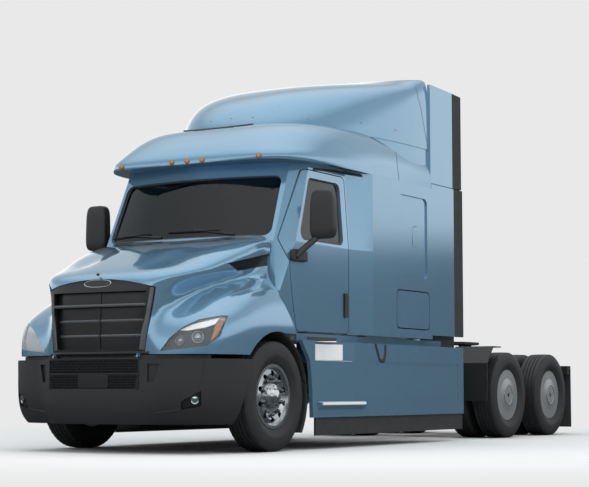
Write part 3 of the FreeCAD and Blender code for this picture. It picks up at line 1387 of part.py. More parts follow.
# Front bumper: a wide moulding wrapped back to the wheel arches, with the lower air intake, the two
# fog lamp pockets and the two towing pockets. Its plans blend a nose and two corners as the hood's do.
bumper_sizes = {
    "bumper_low": 262, "bumper_top": 845, "bumper_wall": 40, "bumper_front": -1225,
    "bumper_rear_top": -450, "bumper_rear_low": -665, "intake_half_top": 505, "intake_half_low": 470,
    "intake_low": 575, "mesh_wall": 14, "mesh_back": 12, "bumper_z1": 300, "bumper_z2": 360,
    "bumper_z3": 450, "bumper_z4": 575, "bumper_z5": 700, "bumper_f0": -1165, "bumper_f1": -1190,
    "bumper_f2": -1212, "bumper_f3": -1222, "bumper_w0": 640, "bumper_w1": 660, "bumper_w2": 680,
    "bumper_w3": 700, "corner_f0": -1020, "corner_f1": -1060, "corner_f2": -1095, "corner_f3": -1120,
    "corner_f4": -1130, "corner_w0": 1165, "corner_w1": 1185, "corner_w2": 1203, "corner_w3": 1214,
    "fog_turn": 30, "fog_inner": 215, "fog_outer": 395, "fog_low": 425, "fog_inner_low": 395,
    "fog_top": 560, "fog_inner_top": 470, "fog_depth": 25, "tow_inner": 575, "tow_outer": 650,
    "tow_low": 640, "tow_top": 800, "tow_slant": 25, "tow_depth": 22,
}
S.add(bumper_sizes)
BUMPER_SQUARE_SHARE = 8.0
CORNER_SQUARE_SHARE = 6.0
SHAPED_LEVELS = 4


def bumper_plans():
    """The bumper's plans from its lower edge up; above the shaped levels they stay alike."""
    heights = [S.bumper_low, S.bumper_z1, S.bumper_z2, S.bumper_z3, S.bumper_z4, S.bumper_z5, S.bumper_top]
    plans = []
    for level, height in enumerate(heights):
        if level < SHAPED_LEVELS:
            nose = getattr(S, f"bumper_w{level}"), getattr(S, f"bumper_f{level}")
            corner = getattr(S, f"corner_w{level}"), getattr(S, f"corner_f{level}")
        else:
            nose = S.bumper_w3, S.bumper_front
            corner = S.body_half_width, S.corner_f4
        noses = [
            (*nose, BUMPER_SQUARE_SHARE, S.fender_blend),
            (*corner, CORNER_SQUARE_SHARE, S.fender_blend),
        ]
        plans.append(nose_plan(noses, Y(S.hood_tail), height))
    return plans


def make_bumper():
    over, wall, gap = S.cut_over.value, S.bumper_wall.value, S.seat_gap.value
    rear = Y(S.bumper_rear_top)
    half = S.body_half_width.value
    plans = bumper_plans()
    skin = moulded_skin(plans, 0, wall)
    slope = side_prism(
        [(Y(S.bumper_rear_low), S.bumper_low.value - over),
         (Y(S.hood_tail) + over, S.bumper_low.value - over),
         (Y(S.hood_tail) + over, S.bumper_top.value + over), (rear, S.bumper_top.value + over),
         (rear, S.bumper_top.value)],
        -half - over, half + over,
    )
    low_half, top_half = S.intake_half_low.value, S.intake_half_top.value
    intake = front_prism(
        [(-low_half, S.intake_low.value), (low_half, S.intake_low.value), (top_half, S.bumper_top.value),
         (top_half, S.bumper_top.value + over), (-top_half, S.bumper_top.value + over),
         (-top_half, S.bumper_top.value)],
        Y(S.bumper_front) - over, Y(S.bumper_front) + over * 4,
    )
    bumper = skin.cut(slope).cut(intake)

    # The fog lamp and towing pockets are sunk into the moulding's face.
    fog = corner_prism(
        [(S.fog_inner, S.fog_inner_low), (S.fog_outer, S.fog_low), (S.fog_outer, S.fog_top),
         (S.fog_inner, S.fog_inner_top)], S.fog_turn.value,
    ).common(moulded_skin(plans, -wall, S.fog_depth.value))
    slant = S.tow_slant.value
    tow = front_prism(
        [(S.tow_inner.value, S.tow_low.value), (S.tow_outer.value - slant, S.tow_low.value),
         (S.tow_outer.value + slant, S.tow_top.value), (S.tow_inner.value, S.tow_top.value)],
        Y(S.bumper_front) - over, Y(S.bumper_front) + over * 4,
    ).common(moulded_skin(plans, -wall, S.tow_depth.value))
    for pocket in (fog, tow):
        bumper = bumper.cut(pocket).cut(flip(pocket))

    # Two brackets run back from the bumper's wall to the outer face of the rails.
    x = S.frame_half_width.value + S.seat_gap.value
    face, rail_end, foot = Y(S.bumper_front) + wall / 2, Y(-S.frame_front), rail_low.value
    depth = S.rail_flange.value
    bracket = side_prism(
        [(face, S.intake_low.value - depth), (face, S.intake_low.value - S.mesh_wall.value),
         (rail_end, foot + depth), (rail_end + depth * 2, foot + depth), (rail_end + depth * 2, foot),
         (rail_end, foot)],
        x, x + S.rail_wall.value,
    )
    bumper = bumper.fuse(bracket).fuse(flip(bracket))
    keep(feature("bumper_form", bumper), "front_bumper")

    mesh = front_prism(
        [(gap - low_half, S.intake_low.value + gap), (low_half - gap, S.intake_low.value + gap),
         (top_half - gap, S.bumper_top.value), (gap - top_half, S.bumper_top.value)],
        Y(S.bumper_front) + S.mesh_back.value, Y(S.bumper_front) + S.mesh_back.value + S.mesh_wall.value,
    )
    keep(feature("bumper_mesh_form", mesh), "bumper_mesh")


make_bumper()

# Chassis fairings with the two steps, their rubber skirts, and the fuel tanks behind them.
side_fairing_sizes = {
    "fairing_front": 620, "fairing_rear": 3990, "fairing_low": 305, "fairing_top": 1042,
    "side_fairing_wall": 40, "fairing_brow": 600, "fairing_brow_height": 650, "fairing_cheek": 570,
    "fairing_cheek_height": 845, "fairing_nose_top": 410, "skirt_low": 132, "skirt_front": 700,
    "skirt_wall": 20, "step_front": 660, "step_rear": 1450, "step_rear_inner": 1150, "step_upper": 850,
    "step_depth": 180, "ledge_front": 700, "ledge_rear": 1620, "ledge_top": 450, "ledge_reach": 45,
    "ledge_lip": 30, "ledge_height": 90, "shelf_inner": 750, "shelf_front": 460, "sill_rear": 3600,
    "sill_inset": 110, "flank_front": 1750, "flank_rear": 3850, "flank_low": 470, "flank_depth": 6,
    "tank_radius": 310, "tank_front": 1750, "tank_rear": 3600, "tank_x": 800, "tank_z": 640,
    "saddle_width": 60, "saddle_height": 150, "fairing_arm_wall": 40, "fairing_arm_height": 70,
}
S.add(side_fairing_sizes)


def make_side_fairings():
    outer, wall, depth = S.body_half_width.value, S.side_fairing_wall.value, S.step_depth.value
    low, top = S.fairing_low.value, S.fairing_top.value
    solid = side_prism(
        [(Y(S.fairing_front), low), (Y(S.fairing_rear), low), (Y(S.fairing_rear), top),
         (Y(S.fairing_nose_top), top), (Y(S.fairing_cheek), S.fairing_cheek_height.value),
         (Y(S.fairing_brow), S.fairing_brow_height.value)],
        outer - wall, outer,
    )

    # The upper step is a recess that is open above, with a slanted end, in a pocket of its own wall.
    shelf, over = S.skirt_wall.value, S.cut_over.value
    floor, inner = S.step_upper.value, outer - depth
    front, rear = Y(S.step_front), Y(S.step_rear)
    pocket = Part.makeBox(
        depth - wall / 2 + shelf, rear - front + shelf * 2, top - floor + shelf,
        Vector(inner - shelf, front - shelf, floor - shelf),
    )
    hollow = [Vector(outer + over, front, floor), Vector(outer + over, rear, floor),
              Vector(outer, rear, floor), Vector(inner, Y(S.step_rear_inner), floor),
              Vector(inner, front, floor)]
    solid = solid.fuse(pocket)

    # A shelf turned in from the top edge and a sill on it close the space under the cab.
    solid = solid.fuse(Part.makeBox(
        outer - wall / 2 - S.shelf_inner.value, Y(S.fairing_rear) - Y(S.shelf_front), shelf,
        Vector(S.shelf_inner.value, Y(S.shelf_front), top - shelf),
    ))
    solid = solid.fuse(Part.makeBox(
        shelf, Y(S.sill_rear) - Y(S.shelf_front), S.cab_low.value - S.panel_gap.value - top + shelf / 2,
        Vector(outer - S.sill_inset.value, Y(S.shelf_front), top - shelf / 2),
    ))
    solid = solid.cut(polygon_prism(hollow, Vector(0, 0, top - floor + over)))

    # The lower step is a ledge, and the flank behind the steps is sunk a little.
    back, reach, ledge = outer - wall / 2, outer + S.ledge_reach.value, S.ledge_top.value
    solid = solid.fuse(polygon_prism(
        [Vector(back, Y(S.ledge_front), ledge - S.ledge_height.value),
         Vector(back, Y(S.ledge_front), ledge), Vector(reach, Y(S.ledge_front), ledge),
         Vector(reach, Y(S.ledge_front), ledge - S.ledge_lip.value)],
        Vector(0, Y(S.ledge_rear) - Y(S.ledge_front), 0),
    ))
    solid = solid.cut(Part.makeBox(
        S.flank_depth.value + over, Y(S.flank_rear) - Y(S.flank_front), floor - S.flank_low.value,
        Vector(outer - S.flank_depth.value, Y(S.flank_front), S.flank_low.value),
    ))

    # Two arms carry each fairing from the rail, one ahead of the tank and one behind it.
    rail_face = S.frame_half_width.value + S.seat_gap.value
    for y in (Y(S.tank_front) - S.fairing_arm_wall.value * 2, Y(S.tank_rear) + S.fairing_arm_wall.value):
        solid = solid.fuse(
            Part.makeBox(
                outer - wall / 2 - rail_face, S.fairing_arm_wall.value, S.fairing_arm_height.value,
                Vector(rail_face, y, rail_low.value + S.rail_wall.value),
            )
        )
    keep(
        together("fairings", [feature("fairing_left", solid), feature("fairing_right", flip(solid))]),
        "chassis_fairings",
    )

    skirt = box("skirt_left", (S.body_half_width - S.side_fairing_wall,
                               S.body_half_width - S.side_fairing_wall + S.skirt_wall),
                (axle_y + S.skirt_front, axle_y + S.fairing_rear), (S.skirt_low, S.fairing_low))
    keep(together("skirts", [skirt, mirror(skirt, "skirt_right")]), "fairing_skirts")

    drum = rod("tank_left_drum", S.tank_radius, S.tank_rear - S.tank_front, S.tank_x,
               axle_y + S.tank_front, S.tank_z, "Y")
    saddles = [
        box(f"tank_saddle_{i}", (S.frame_half_width + S.seat_gap, S.tank_x), (y, y + S.saddle_width),
            (S.tank_z, S.tank_z + S.saddle_height))
        for i, y in enumerate((axle_y + S.tank_front + S.saddle_width * 3,
                               axle_y + S.tank_rear - S.saddle_width * 4))
    ]
    tank = fuse("tank_left", [drum] + saddles)
    keep(together("tanks", [tank, mirror(tank, "tank_right")]), "fuel_tanks")


make_side_fairings()

# Fifth wheel: a bracket on the frame and the tilting top plate with its kingpin throat.
coupling_sizes = {
    "coupling_top": 1168, "coupling_plate": 30, "coupling_half_width": 455, "coupling_front": 420,
    "coupling_rear": 440, "coupling_behind": -40, "coupling_pivot_z": 1075, "coupling_pin_radius": 25,
    "coupling_ear": 40, "coupling_ear_half": 330, "kingpin_lock_radius": 25.6, "throat_half": 60,
    "lock_depth": 34,
}
S.add(coupling_sizes)
coupling_y = tandem_y + S.coupling_behind


def make_coupling():
    plate = new_body("coupling_plate_body")
    top, wide = S.coupling_top, S.coupling_half_width
    outline = [
        (-wide, coupling_y - S.coupling_front * 0.55), (-wide * 0.6, coupling_y - S.coupling_front),
        (wide * 0.6, coupling_y - S.coupling_front), (wide, coupling_y - S.coupling_front * 0.55),
        (wide, coupling_y + S.coupling_rear * 0.45), (wide * 0.62, coupling_y + S.coupling_rear),
        (S.throat_half * 2.6, coupling_y + S.coupling_rear), (S.throat_half,
                                                              coupling_y + S.coupling_rear * 0.4),
        (S.throat_half, coupling_y), (-S.throat_half, coupling_y),
        (-S.throat_half, coupling_y + S.coupling_rear * 0.4),
        (-S.throat_half * 2.6, coupling_y + S.coupling_rear), (-wide * 0.62, coupling_y + S.coupling_rear),
        (-wide, coupling_y + S.coupling_rear * 0.45),
    ]
    pad(plate, sketch(plate, "coupling_top_outline", "XY_Plane", [outline],
                      offset=top - S.coupling_plate), S.coupling_plate)
    lock = Part.makeBox(
        S.throat_half.value * 3.2, S.throat_half.value * 2.8, S.lock_depth.value,
        Vector(-S.throat_half.value * 1.6, coupling_y.value - S.throat_half.value * 1.4,
               top.value - S.coupling_plate.value - S.lock_depth.value),
    )
    fill = Part.makeBox(
        S.throat_half.value * 2, S.throat_half.value * 1.4, S.coupling_plate.value,
        Vector(-S.throat_half.value, coupling_y.value, top.value - S.coupling_plate.value),
    )
    ears = []
    for x in (S.coupling_ear_half.value, -S.coupling_ear_half.value - S.coupling_ear.value):
        ears.append(
            side_prism(
                [(coupling_y.value - S.coupling_front.value * 0.4, top.value - S.coupling_plate.value),
                 (coupling_y.value + S.coupling_front.value * 0.4, top.value - S.coupling_plate.value),
                 (coupling_y.value + S.coupling_ear.value, S.coupling_pivot_z.value - S.coupling_ear.value),
                 (coupling_y.value - S.coupling_ear.value,
                  S.coupling_pivot_z.value - S.coupling_ear.value)],
                x, x + S.coupling_ear.value,
            )
        )
    bore = Part.makeCylinder(
        S.kingpin_lock_radius.value, S.coupling_plate.value * 4 + S.lock_depth.value,
        Vector(0, coupling_y.value, top.value - S.coupling_plate.value * 3 - S.lock_depth.value),
    )
    pin_bore = Part.makeCylinder(
        S.coupling_pin_radius.value + S.seat_gap.value, S.coupling_half_width.value * 2,
        Vector(-S.coupling_half_width.value, coupling_y.value, S.coupling_pivot_z.value), Vector(1, 0, 0),
    )
    doc.recompute()
    solid = plate.Shape.multiFuse([lock, fill] + ears).cut(bore).cut(pin_bore)
    keep(feature("coupling_plate_form", solid), "fifth_wheel_plate")

    # Bracket: a base plate over the rails, two cheeks beside the ears and the pivot pin.
    base = box("coupling_base", (-S.frame_half_width, S.frame_half_width),
               (coupling_y - S.coupling_front * 0.6, coupling_y + S.coupling_front * 0.6),
               (S.frame_top, S.frame_top + S.rail_wall))
    cheeks = []
    gap = S.knuckle_gap * 2
    for number, x in enumerate((S.coupling_ear_half + S.coupling_ear + gap,
                                S.coupling_ear_half - S.coupling_ear - gap)):
        outline = [
            (coupling_y - S.coupling_front * 0.3, S.frame_top),
            (coupling_y + S.coupling_front * 0.3, S.frame_top),
            (coupling_y + S.coupling_ear, S.coupling_pivot_z + S.coupling_ear * 0.7),
            (coupling_y - S.coupling_ear, S.coupling_pivot_z + S.coupling_ear * 0.7),
        ]
        cheek = padded(f"coupling_cheek_{number}", "YZ_Plane", outline, S.coupling_ear, offset=x)
        cheeks += [cheek, mirror(cheek, f"coupling_cheek_{number}_right")]
    pins = []
    for name, x in (("left", S.coupling_ear_half - S.coupling_ear - gap),
                    ("right", -S.coupling_ear_half - S.coupling_ear * 2 - gap)):
        pins.append(rod(f"coupling_pin_{name}", S.coupling_pin_radius, S.coupling_ear * 3 + gap * 2, x,
                        coupling_y,
                        S.coupling_pivot_z, "X"))
    keep(fuse("coupling_base_solid", [base] + cheeks + pins), "fifth_wheel_bracket")


make_coupling()

# Drive wheel fenders, mud flaps and the rear light bar.
rear_sizes = {
    "fender_front": 620, "fender_low": 440, "fender_top": 1085, "fender_wall": 14, "fender_inner": 720,
    "fender_outer": 1205, "fender_back": 200, "flap_front": 7335, "flap_wall": 12, "flap_low": 90,
    "flap_top": 880, "flap_half": 1190, "flap_inner": 610, "bar_height": 110, "bar_depth": 60,
    "lamp_depth": 26,
}
S.add(rear_sizes)


def make_rear():
    x0, x1 = S.fender_inner, S.fender_outer
    face = drive_y[0] - S.fender_front
    outline = [
        (face, S.fender_low), (face + S.fender_wall, S.fender_low),
        (face + S.fender_wall * 2, S.fender_top - S.fender_back),
        (face + S.fender_back, S.fender_top - S.fender_wall),
        (drive_y[0] - S.fender_back, S.fender_top - S.fender_wall),
        (drive_y[0] - S.fender_back, S.fender_top),
        (face + S.fender_back - S.fender_wall, S.fender_top), (face + S.fender_wall,
                                                               S.fender_top - S.fender_back),
    ]
    panel = padded("fender_panel", "YZ_Plane", outline, x1 - x0, offset=x0)
    arm = box("fender_arm", (S.frame_half_width, x0), (face + S.fender_wall, face + S.fender_wall * 4),
              (S.frame_top - S.fender_wall * 8, S.frame_top - S.fender_wall * 4))
    fender = fuse("fender_left", [panel, arm])
    keep(together("fenders", [fender, mirror(fender, "fender_right")]), "drive_fenders")

    front = axle_y + S.flap_front
    flap = box("flap_left", (S.flap_inner, S.flap_half), (front, front + S.flap_wall),
               (S.flap_low, S.flap_top))
    keep(together("flaps", [flap, mirror(flap, "flap_right")]), "mud_flaps")

    bar_y = axle_y + S.frame_rear
    bar = box("light_bar", (-S.flap_half, S.flap_half), (bar_y, bar_y + S.bar_depth),
              (S.flap_top - S.bar_height, S.flap_top))
    stay = box("flap_stay", (S.flap_inner, S.flap_half), (bar_y + S.bar_depth, front),
               (S.flap_top - S.bar_height / 2, S.flap_top))
    keep(fuse("rear_bar_solid", [bar, stay, mirror(stay, "flap_stay_right")]), "rear_light_bar")

    lamp = rod("tail_lamp", S.bar_height * 0.42, S.lamp_depth, S.flap_inner * 0.75, bar_y + S.bar_depth,
               S.flap_top - S.bar_height / 2, "Y")
    keep(together("tail_lamp_pair", [lamp, mirror(lamp, "tail_lamp_right")]), "tail_lamps")


make_rear()

# Mirrors and handles on the doors.
outside_fitting_sizes = {
    "mirror_inner": 1225, "mirror_outer": 1487, "mirror_front": 520, "mirror_depth": 130,
    "mirror_low": 2010, "mirror_top": 2480, "mirror_corner": 45, "arm_low": 1790, "arm_high": 1905,
    "arm_back": 606, "arm_front_y": 312, "arm_thick": 44, "handle_front": 1365, "handle_rear": 1430,
    "handle_low": 1290, "handle_top": 1530, "handle_proud": 22,
}
S.add(outside_fitting_sizes)


def make_outside_fittings():
    # Mirror head on a two-leg arm that starts from a foot on the door's front corner.
    half = S.cab_half_width.value
    head = rounded_front_prism(
        [(S.mirror_inner.value, S.mirror_low.value), (S.mirror_outer.value, S.mirror_low.value),
         (S.mirror_outer.value, S.mirror_top.value), (S.mirror_inner.value, S.mirror_top.value)],
        S.mirror_corner.value, Y(S.mirror_front), Y(S.mirror_front) + S.mirror_depth.value,
    )
    foot = side_prism(
        [(Y(S.arm_front_y), S.arm_low.value), (Y(S.arm_back), S.arm_low.value),
         (Y(S.arm_front_y) + S.arm_thick.value * 2, S.arm_high.value),
         (Y(S.arm_front_y), S.arm_high.value)],
        half + S.seat_gap.value, half + S.arm_thick.value,
    )
    arm_points = [
        Vector(half + S.seat_gap.value, Y(S.arm_front_y), S.arm_low.value + S.arm_thick.value),
        Vector(half + S.arm_thick.value, Y(S.arm_front_y) + S.arm_thick.value * 3, S.arm_low.value),
        Vector(S.mirror_inner.value + S.arm_thick.value * 3, Y(S.mirror_front) + S.arm_thick.value * 2,
               S.mirror_low.value + S.arm_thick.value),
        Vector(S.mirror_inner.value + S.arm_thick.value, Y(S.mirror_front) + S.arm_thick.value * 2,
               S.mirror_low.value + S.arm_thick.value),
    ]
    centre = (arm_points[2] + arm_points[3]) * 0.5
    start = Vector(half + S.arm_thick.value / 2, Y(S.arm_front_y) + S.arm_thick.value * 2,
                   S.arm_low.value + S.arm_thick.value)
    way = centre - start
    arm = Part.makeCylinder(S.arm_thick.value / 2, way.Length, start, way)
    mirror_solid = head.multiFuse([foot, arm])
    keep(feature("mirror_left_form", mirror_solid), "mirror_left")
    keep(feature("mirror_right_form", flip(mirror_solid)), "mirror_right")

    handle = box("handle_left", (S.cab_half_width + S.seat_gap, S.cab_half_width + S.handle_proud),
                 (axle_y + S.handle_front, axle_y + S.handle_rear), (S.handle_low, S.handle_top))
    keep(handle, "door_handle_left")
    keep(mirror(handle, "handle_right"), "door_handle_right")


make_outside_fittings()

# Inside the cab: dashboard, seats, bunk and the steering wheel on its column.
interior_sizes = {
    "dash_front": 420, "dash_rear": 760, "dash_low": 1500, "dash_top": 1960, "dash_half": 920,
    "seat_x": 560, "seat_front": 1150, "seat_depth": 520, "seat_half": 260, "seat_low": 1520,
    "seat_thick": 130, "seat_back_top": 2350, "bunk_front": 2330, "bunk_low": 1500, "bunk_top": 1650,
    "bunk_half": 1120, "steer_wheel_radius": 225, "steer_wheel_tube": 16, "steer_wheel_back": 960,
    "steer_wheel_height": 1900, "column_radius": 30, "steer_tilt": 35, "column_length": 420,
}
S.add(interior_sizes)


def make_interior():
    floor = S.cab_low + S.cab_wall
    dash = box("dash", (-S.dash_half, S.dash_half), (axle_y + S.dash_front, axle_y + S.dash_rear),
               (S.dash_low, S.dash_top))
    leg = box("dash_leg", (-S.seat_half, S.seat_half), (axle_y + S.dash_front,
                                                        axle_y + S.dash_rear - S.arm_depth),
                                                        (floor + S.seat_gap, S.dash_low))
    column = doc.addObject("Part::Cylinder", "steering_column")
    bind(column, Radius=S.column_radius, Height=S.column_length)
    lean = math.radians(S.steer_tilt.value)
    start = S.steer_wheel_tube.value * 2 + S.seat_gap.value
    column.Placement = FreeCAD.Placement(
        Vector(S.seat_x.value, Y(S.steer_wheel_back) - math.sin(lean) * start,
               S.steer_wheel_height.value - math.cos(lean) * start),
        FreeCAD.Rotation(Vector(1, 0, 0), 180 - S.steer_tilt.value),
    )
    keep(fuse("dash_solid", [dash, leg, column]), "dashboard")

    seats = []
    y = axle_y + S.seat_front
    for side, x in (("left", S.seat_x), ("right", -S.seat_x)):
        pan = box(f"seat_pan_{side}", (x - S.seat_half, x + S.seat_half), (y, y + S.seat_depth),
                  (S.seat_low, S.seat_low + S.seat_thick))
        back = box(f"seat_back_{side}", (x - S.seat_half, x + S.seat_half),
                   (y + S.seat_depth - S.seat_thick, y + S.seat_depth),
                   (S.seat_low, S.seat_back_top))
        base = box(f"seat_base_{side}", (x - S.seat_half / 2, x + S.seat_half / 2),
                   (y + S.seat_thick, y + S.seat_depth - S.seat_thick),
                   (floor + S.seat_gap, S.seat_low))
        seats.append(fuse(f"seat_{side}", [pan, back, base]))
    bunk = box("bunk_slab", (-S.bunk_half, S.bunk_half), (axle_y + S.bunk_front,
                                                          axle_y + S.cab_rear - S.cab_wall - S.seat_gap),
               (S.bunk_low, S.bunk_top))
    bunk_base = box("bunk_base", (-S.bunk_half, S.bunk_half), (axle_y + S.bunk_front + S.seat_thick,
                                                               axle_y + S.bunk_front + S.seat_thick * 1.5),
                    (floor + S.seat_gap, S.bunk_low))
    keep(together("seat_set", seats + [fuse("bunk_solid", [bunk, bunk_base])]), "seats_and_bunk")

    ring = Part.makeTorus(S.steer_wheel_radius.value, S.steer_wheel_tube.value)
    hub = Part.makeCylinder(S.column_radius.value * 1.5, S.steer_wheel_tube.value * 3,
                            Vector(0, 0, -S.steer_wheel_tube.value * 2))
    spokes = [
        Part.makeBox(S.steer_wheel_radius.value, S.steer_wheel_tube.value * 2, S.steer_wheel_tube.value,
                     Vector(0, -S.steer_wheel_tube.value, -S.steer_wheel_tube.value / 2))
        for _ in range(3)
    ]
    for i, spoke in enumerate(spokes):
        spoke.rotate(Vector(0, 0, 0), Vector(0, 0, 1), 90 + 120 * i)
    wheel = ring.multiFuse([hub] + spokes)
    wheel.rotate(Vector(0, 0, 0), Vector(1, 0, 0), -S.steer_tilt.value)
    wheel.translate(Vector(S.seat_x.value, Y(S.steer_wheel_back), S.steer_wheel_height.value))
    keep(feature("steering_wheel_form", wheel), "steering_wheel")


make_interior()

# Build, check and write every sub-part.
doc.recompute()
failed = [o.Name for o in doc.Objects if "Invalid" in o.State or "Error" in o.State]
if failed:
    raise RuntimeError(f"these objects failed: {failed}")
os.makedirs("parts", exist_ok=True)
for part in nodes:
    shape = part.Shape
    if shape.isNull() or not shape.isValid() or not shape.Solids:
        raise RuntimeError(f"{part.Label} has no valid solid")
    shape.exportStep(f"parts/{part.Label}.step")
whole = Part.makeCompound([part.Shape for part in nodes])
print(len(nodes), "sub-parts", whole.BoundBox)
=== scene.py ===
from functools import partial
import math

import bmesh
import bpy
import numpy as np
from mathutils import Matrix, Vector
from mathutils.bvhtree import BVHTree
from mathutils.geometry import convex_hull_2d


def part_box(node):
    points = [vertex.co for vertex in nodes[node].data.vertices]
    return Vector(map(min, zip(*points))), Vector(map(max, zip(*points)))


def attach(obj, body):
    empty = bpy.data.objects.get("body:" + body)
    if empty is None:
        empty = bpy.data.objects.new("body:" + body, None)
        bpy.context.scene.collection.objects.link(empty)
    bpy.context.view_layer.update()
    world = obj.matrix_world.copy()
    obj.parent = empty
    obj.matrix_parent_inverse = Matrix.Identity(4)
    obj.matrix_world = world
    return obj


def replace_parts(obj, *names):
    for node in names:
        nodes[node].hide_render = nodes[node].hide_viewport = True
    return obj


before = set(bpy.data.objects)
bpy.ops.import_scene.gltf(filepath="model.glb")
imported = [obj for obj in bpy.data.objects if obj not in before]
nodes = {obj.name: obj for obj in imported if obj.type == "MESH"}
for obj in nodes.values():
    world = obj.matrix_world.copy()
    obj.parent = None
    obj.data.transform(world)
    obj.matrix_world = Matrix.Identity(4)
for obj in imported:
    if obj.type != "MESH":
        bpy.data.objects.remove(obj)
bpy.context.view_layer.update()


# Viewpoint
# The photograph is taken low down, in front of the truck's left corner,
# with a long lens that is tilted up a little.
lens_place = (9.1005, -15.9066, 0.5686)
lens_turn = 30.9986
lens_tilt = 5.1445
focal_pixels = 1626.82
picture_size = (589, 487)
film_width = 36.0
sight_end = 200.0

camera_data = bpy.data.cameras.new("camera")
camera_data.sensor_fit = "HORIZONTAL"
camera_data.sensor_width = film_width
camera_data.lens = focal_pixels / picture_size[0] * film_width
camera_data.clip_end = sight_end
camera = bpy.data.objects.new("camera", camera_data)
camera.location = lens_place
camera.rotation_euler = (math.radians(90 + lens_tilt), 0, math.radians(lens_turn))
bpy.context.scene.collection.objects.link(camera)
bpy.context.scene.camera = camera
bpy.context.scene.view_settings.view_transform = "Standard"


# Studio
# A seamless paper floor in a soft room, lit by three wide panels. The room is dim
# near the horizon, bright just above it, grey in the middle and bright at the top,
# so that the paint shows a long two-tone reflection.
def linear(code):
    """An sRGB hex colour as linear numbers: c / 12.92 when dark, else ((c + 0.055) / 1.055) to 2.4."""
    channels = [int(code[place:place + 2], 16) / 255 for place in (1, 3, 5)]
    return tuple(c / 12.92 if c <= 0.04045 else ((c + 0.055) / 1.055) ** 2.4 for c in channels) + (1.0,)


def add_node(tree, kind, inputs=None, **settings):
    """Adds one shader node; an input is a number, a colour, a socket, or a node for its first output."""
    node = tree.nodes.new("ShaderNode" + kind)
    for name, value in settings.items():
        setattr(node, name, value)
    for name, value in (inputs or {}).items():
        if isinstance(value, bpy.types.Node):
            value = next(socket for socket in value.outputs if socket.enabled)
        if isinstance(value, bpy.types.NodeSocket):
            tree.links.new(value, node.inputs[name])
        else:
            node.inputs[name].default_value = value
    return node


def new_finish(name):
    """A new material, the function that adds its nodes, and the place on the piece for its patterns."""
    finish = bpy.data.materials.new(name)
    finish.use_nodes = True
    finish.node_tree.nodes.clear()
    add = partial(add_node, finish.node_tree)
    return finish, add, add("TexCoord").outputs["Object"]


backdrop_white = "#E9E9E9"
room_bands = ((0.0, "#3A4246"), (0.08, "#3A4246"), (0.10, "#EEF2F4"), (0.26, "#F2F4F5"), (0.38, "#B6BEC2"),
              (0.58, "#A6AEB2"), (0.78, "#E6EBED"), (0.96, "#FFFFFF"))
room_strength = 1.22
floor_colour, floor_in_gloss = "#D8D8D8", "#454B4E"
floor_reach = 60.0
fade_near, fade_far = 4.0, 9.0
soft_panels = {
    "overhead_panel": ((1.0, -2.0, 10.0), (0.0, 0.0, 1.0), (12.0, 16.0), 560),
    "left_panel": ((12.0, -6.0, 8.0), (0.0, -1.0, 1.5), (4.0, 12.0), 380),
    "front_panel": ((-3.0, -15.0, 7.0), (0.0, -3.0, 1.5), (10.0, 3.0), 400),
}

world = bpy.data.worlds.new("studio_room")
bpy.context.scene.world = world
world.use_nodes = True
world.node_tree.nodes.clear()
add = partial(add_node, world.node_tree)
direction = add("TexCoord").outputs["Generated"]
height = add("SeparateXYZ", {"Vector": direction}).outputs["Z"]
shade = add("ValToRGB", {"Fac": height})
bands = shade.color_ramp.elements
lowest, *between, highest = room_bands
for band, (share_up, code) in zip(bands, (lowest, highest)):
    band.position = share_up
    band.color = linear(code)
for share_up, code in between:
    bands.new(share_up).color = linear(code)
rays = add("LightPath").outputs
seen = add("Math", {0: rays["Is Camera Ray"], 1: rays["Is Transmission Ray"]}, operation="MAXIMUM")
lit = add("Background", {"Color": shade, "Strength": room_strength})
shown = add("Background", {"Color": linear(backdrop_white), "Strength": 1.0})
add("OutputWorld", {"Surface": add("MixShader", {0: seen, 1: lit, 2: shown})})

floor_mesh = bpy.data.meshes.new("floor")
corners = [(x * floor_reach, y * floor_reach, 0) for x, y in ((-1, -1), (1, -1), (1, 1), (-1, 1))]
floor_mesh.from_pydata(corners, [], [(0, 1, 2, 3)])
floor = bpy.data.objects.new("floor", floor_mesh)
bpy.context.scene.collection.objects.link(floor)

# Matt seamless paper: pale, with a soft shadow. Away from the truck it runs into
# the backdrop's white, and glossy rays alone see it dim, as the room's foot is.
studio_paper, add, place = new_finish("studio_paper")
rays = add("LightPath").outputs
tone = add("Mix", {"Factor": rays["Is Glossy Ray"], "A": linear(floor_colour), "B": linear(floor_in_gloss)},
           data_type="RGBA")
matt = add("BsdfDiffuse", {"Color": tone})
reach = add("VectorMath", {0: place}, operation="LENGTH")
fade = add("MapRange", {"Value": reach, "From Min": fade_near, "From Max": fade_far},
           interpolation_type="SMOOTHSTEP")
share = add("Math", {0: fade, 1: rays["Is Camera Ray"]}, operation="MULTIPLY")
sweep = add("Emission", {"Color": linear(backdrop_white)})
add("OutputMaterial", {"Surface": add("MixShader", {0: share, 1: matt, 2: sweep})})
floor_mesh.materials.append(studio_paper)

for name, (place, target, size, watts) in soft_panels.items():
    panel_data = bpy.data.lights.new(name, "AREA")
    panel_data.shape = "RECTANGLE"
    panel_data.size, panel_data.size_y = size
    panel_data.energy = watts
    panel = bpy.data.objects.new(name, panel_data)
    panel.location = place
    panel.rotation_euler = (Vector(target) - Vector(place)).to_track_quat("-Z", "Y").to_euler()
    panel.visible_glossy = False
    bpy.context.scene.collection.objects.link(panel)


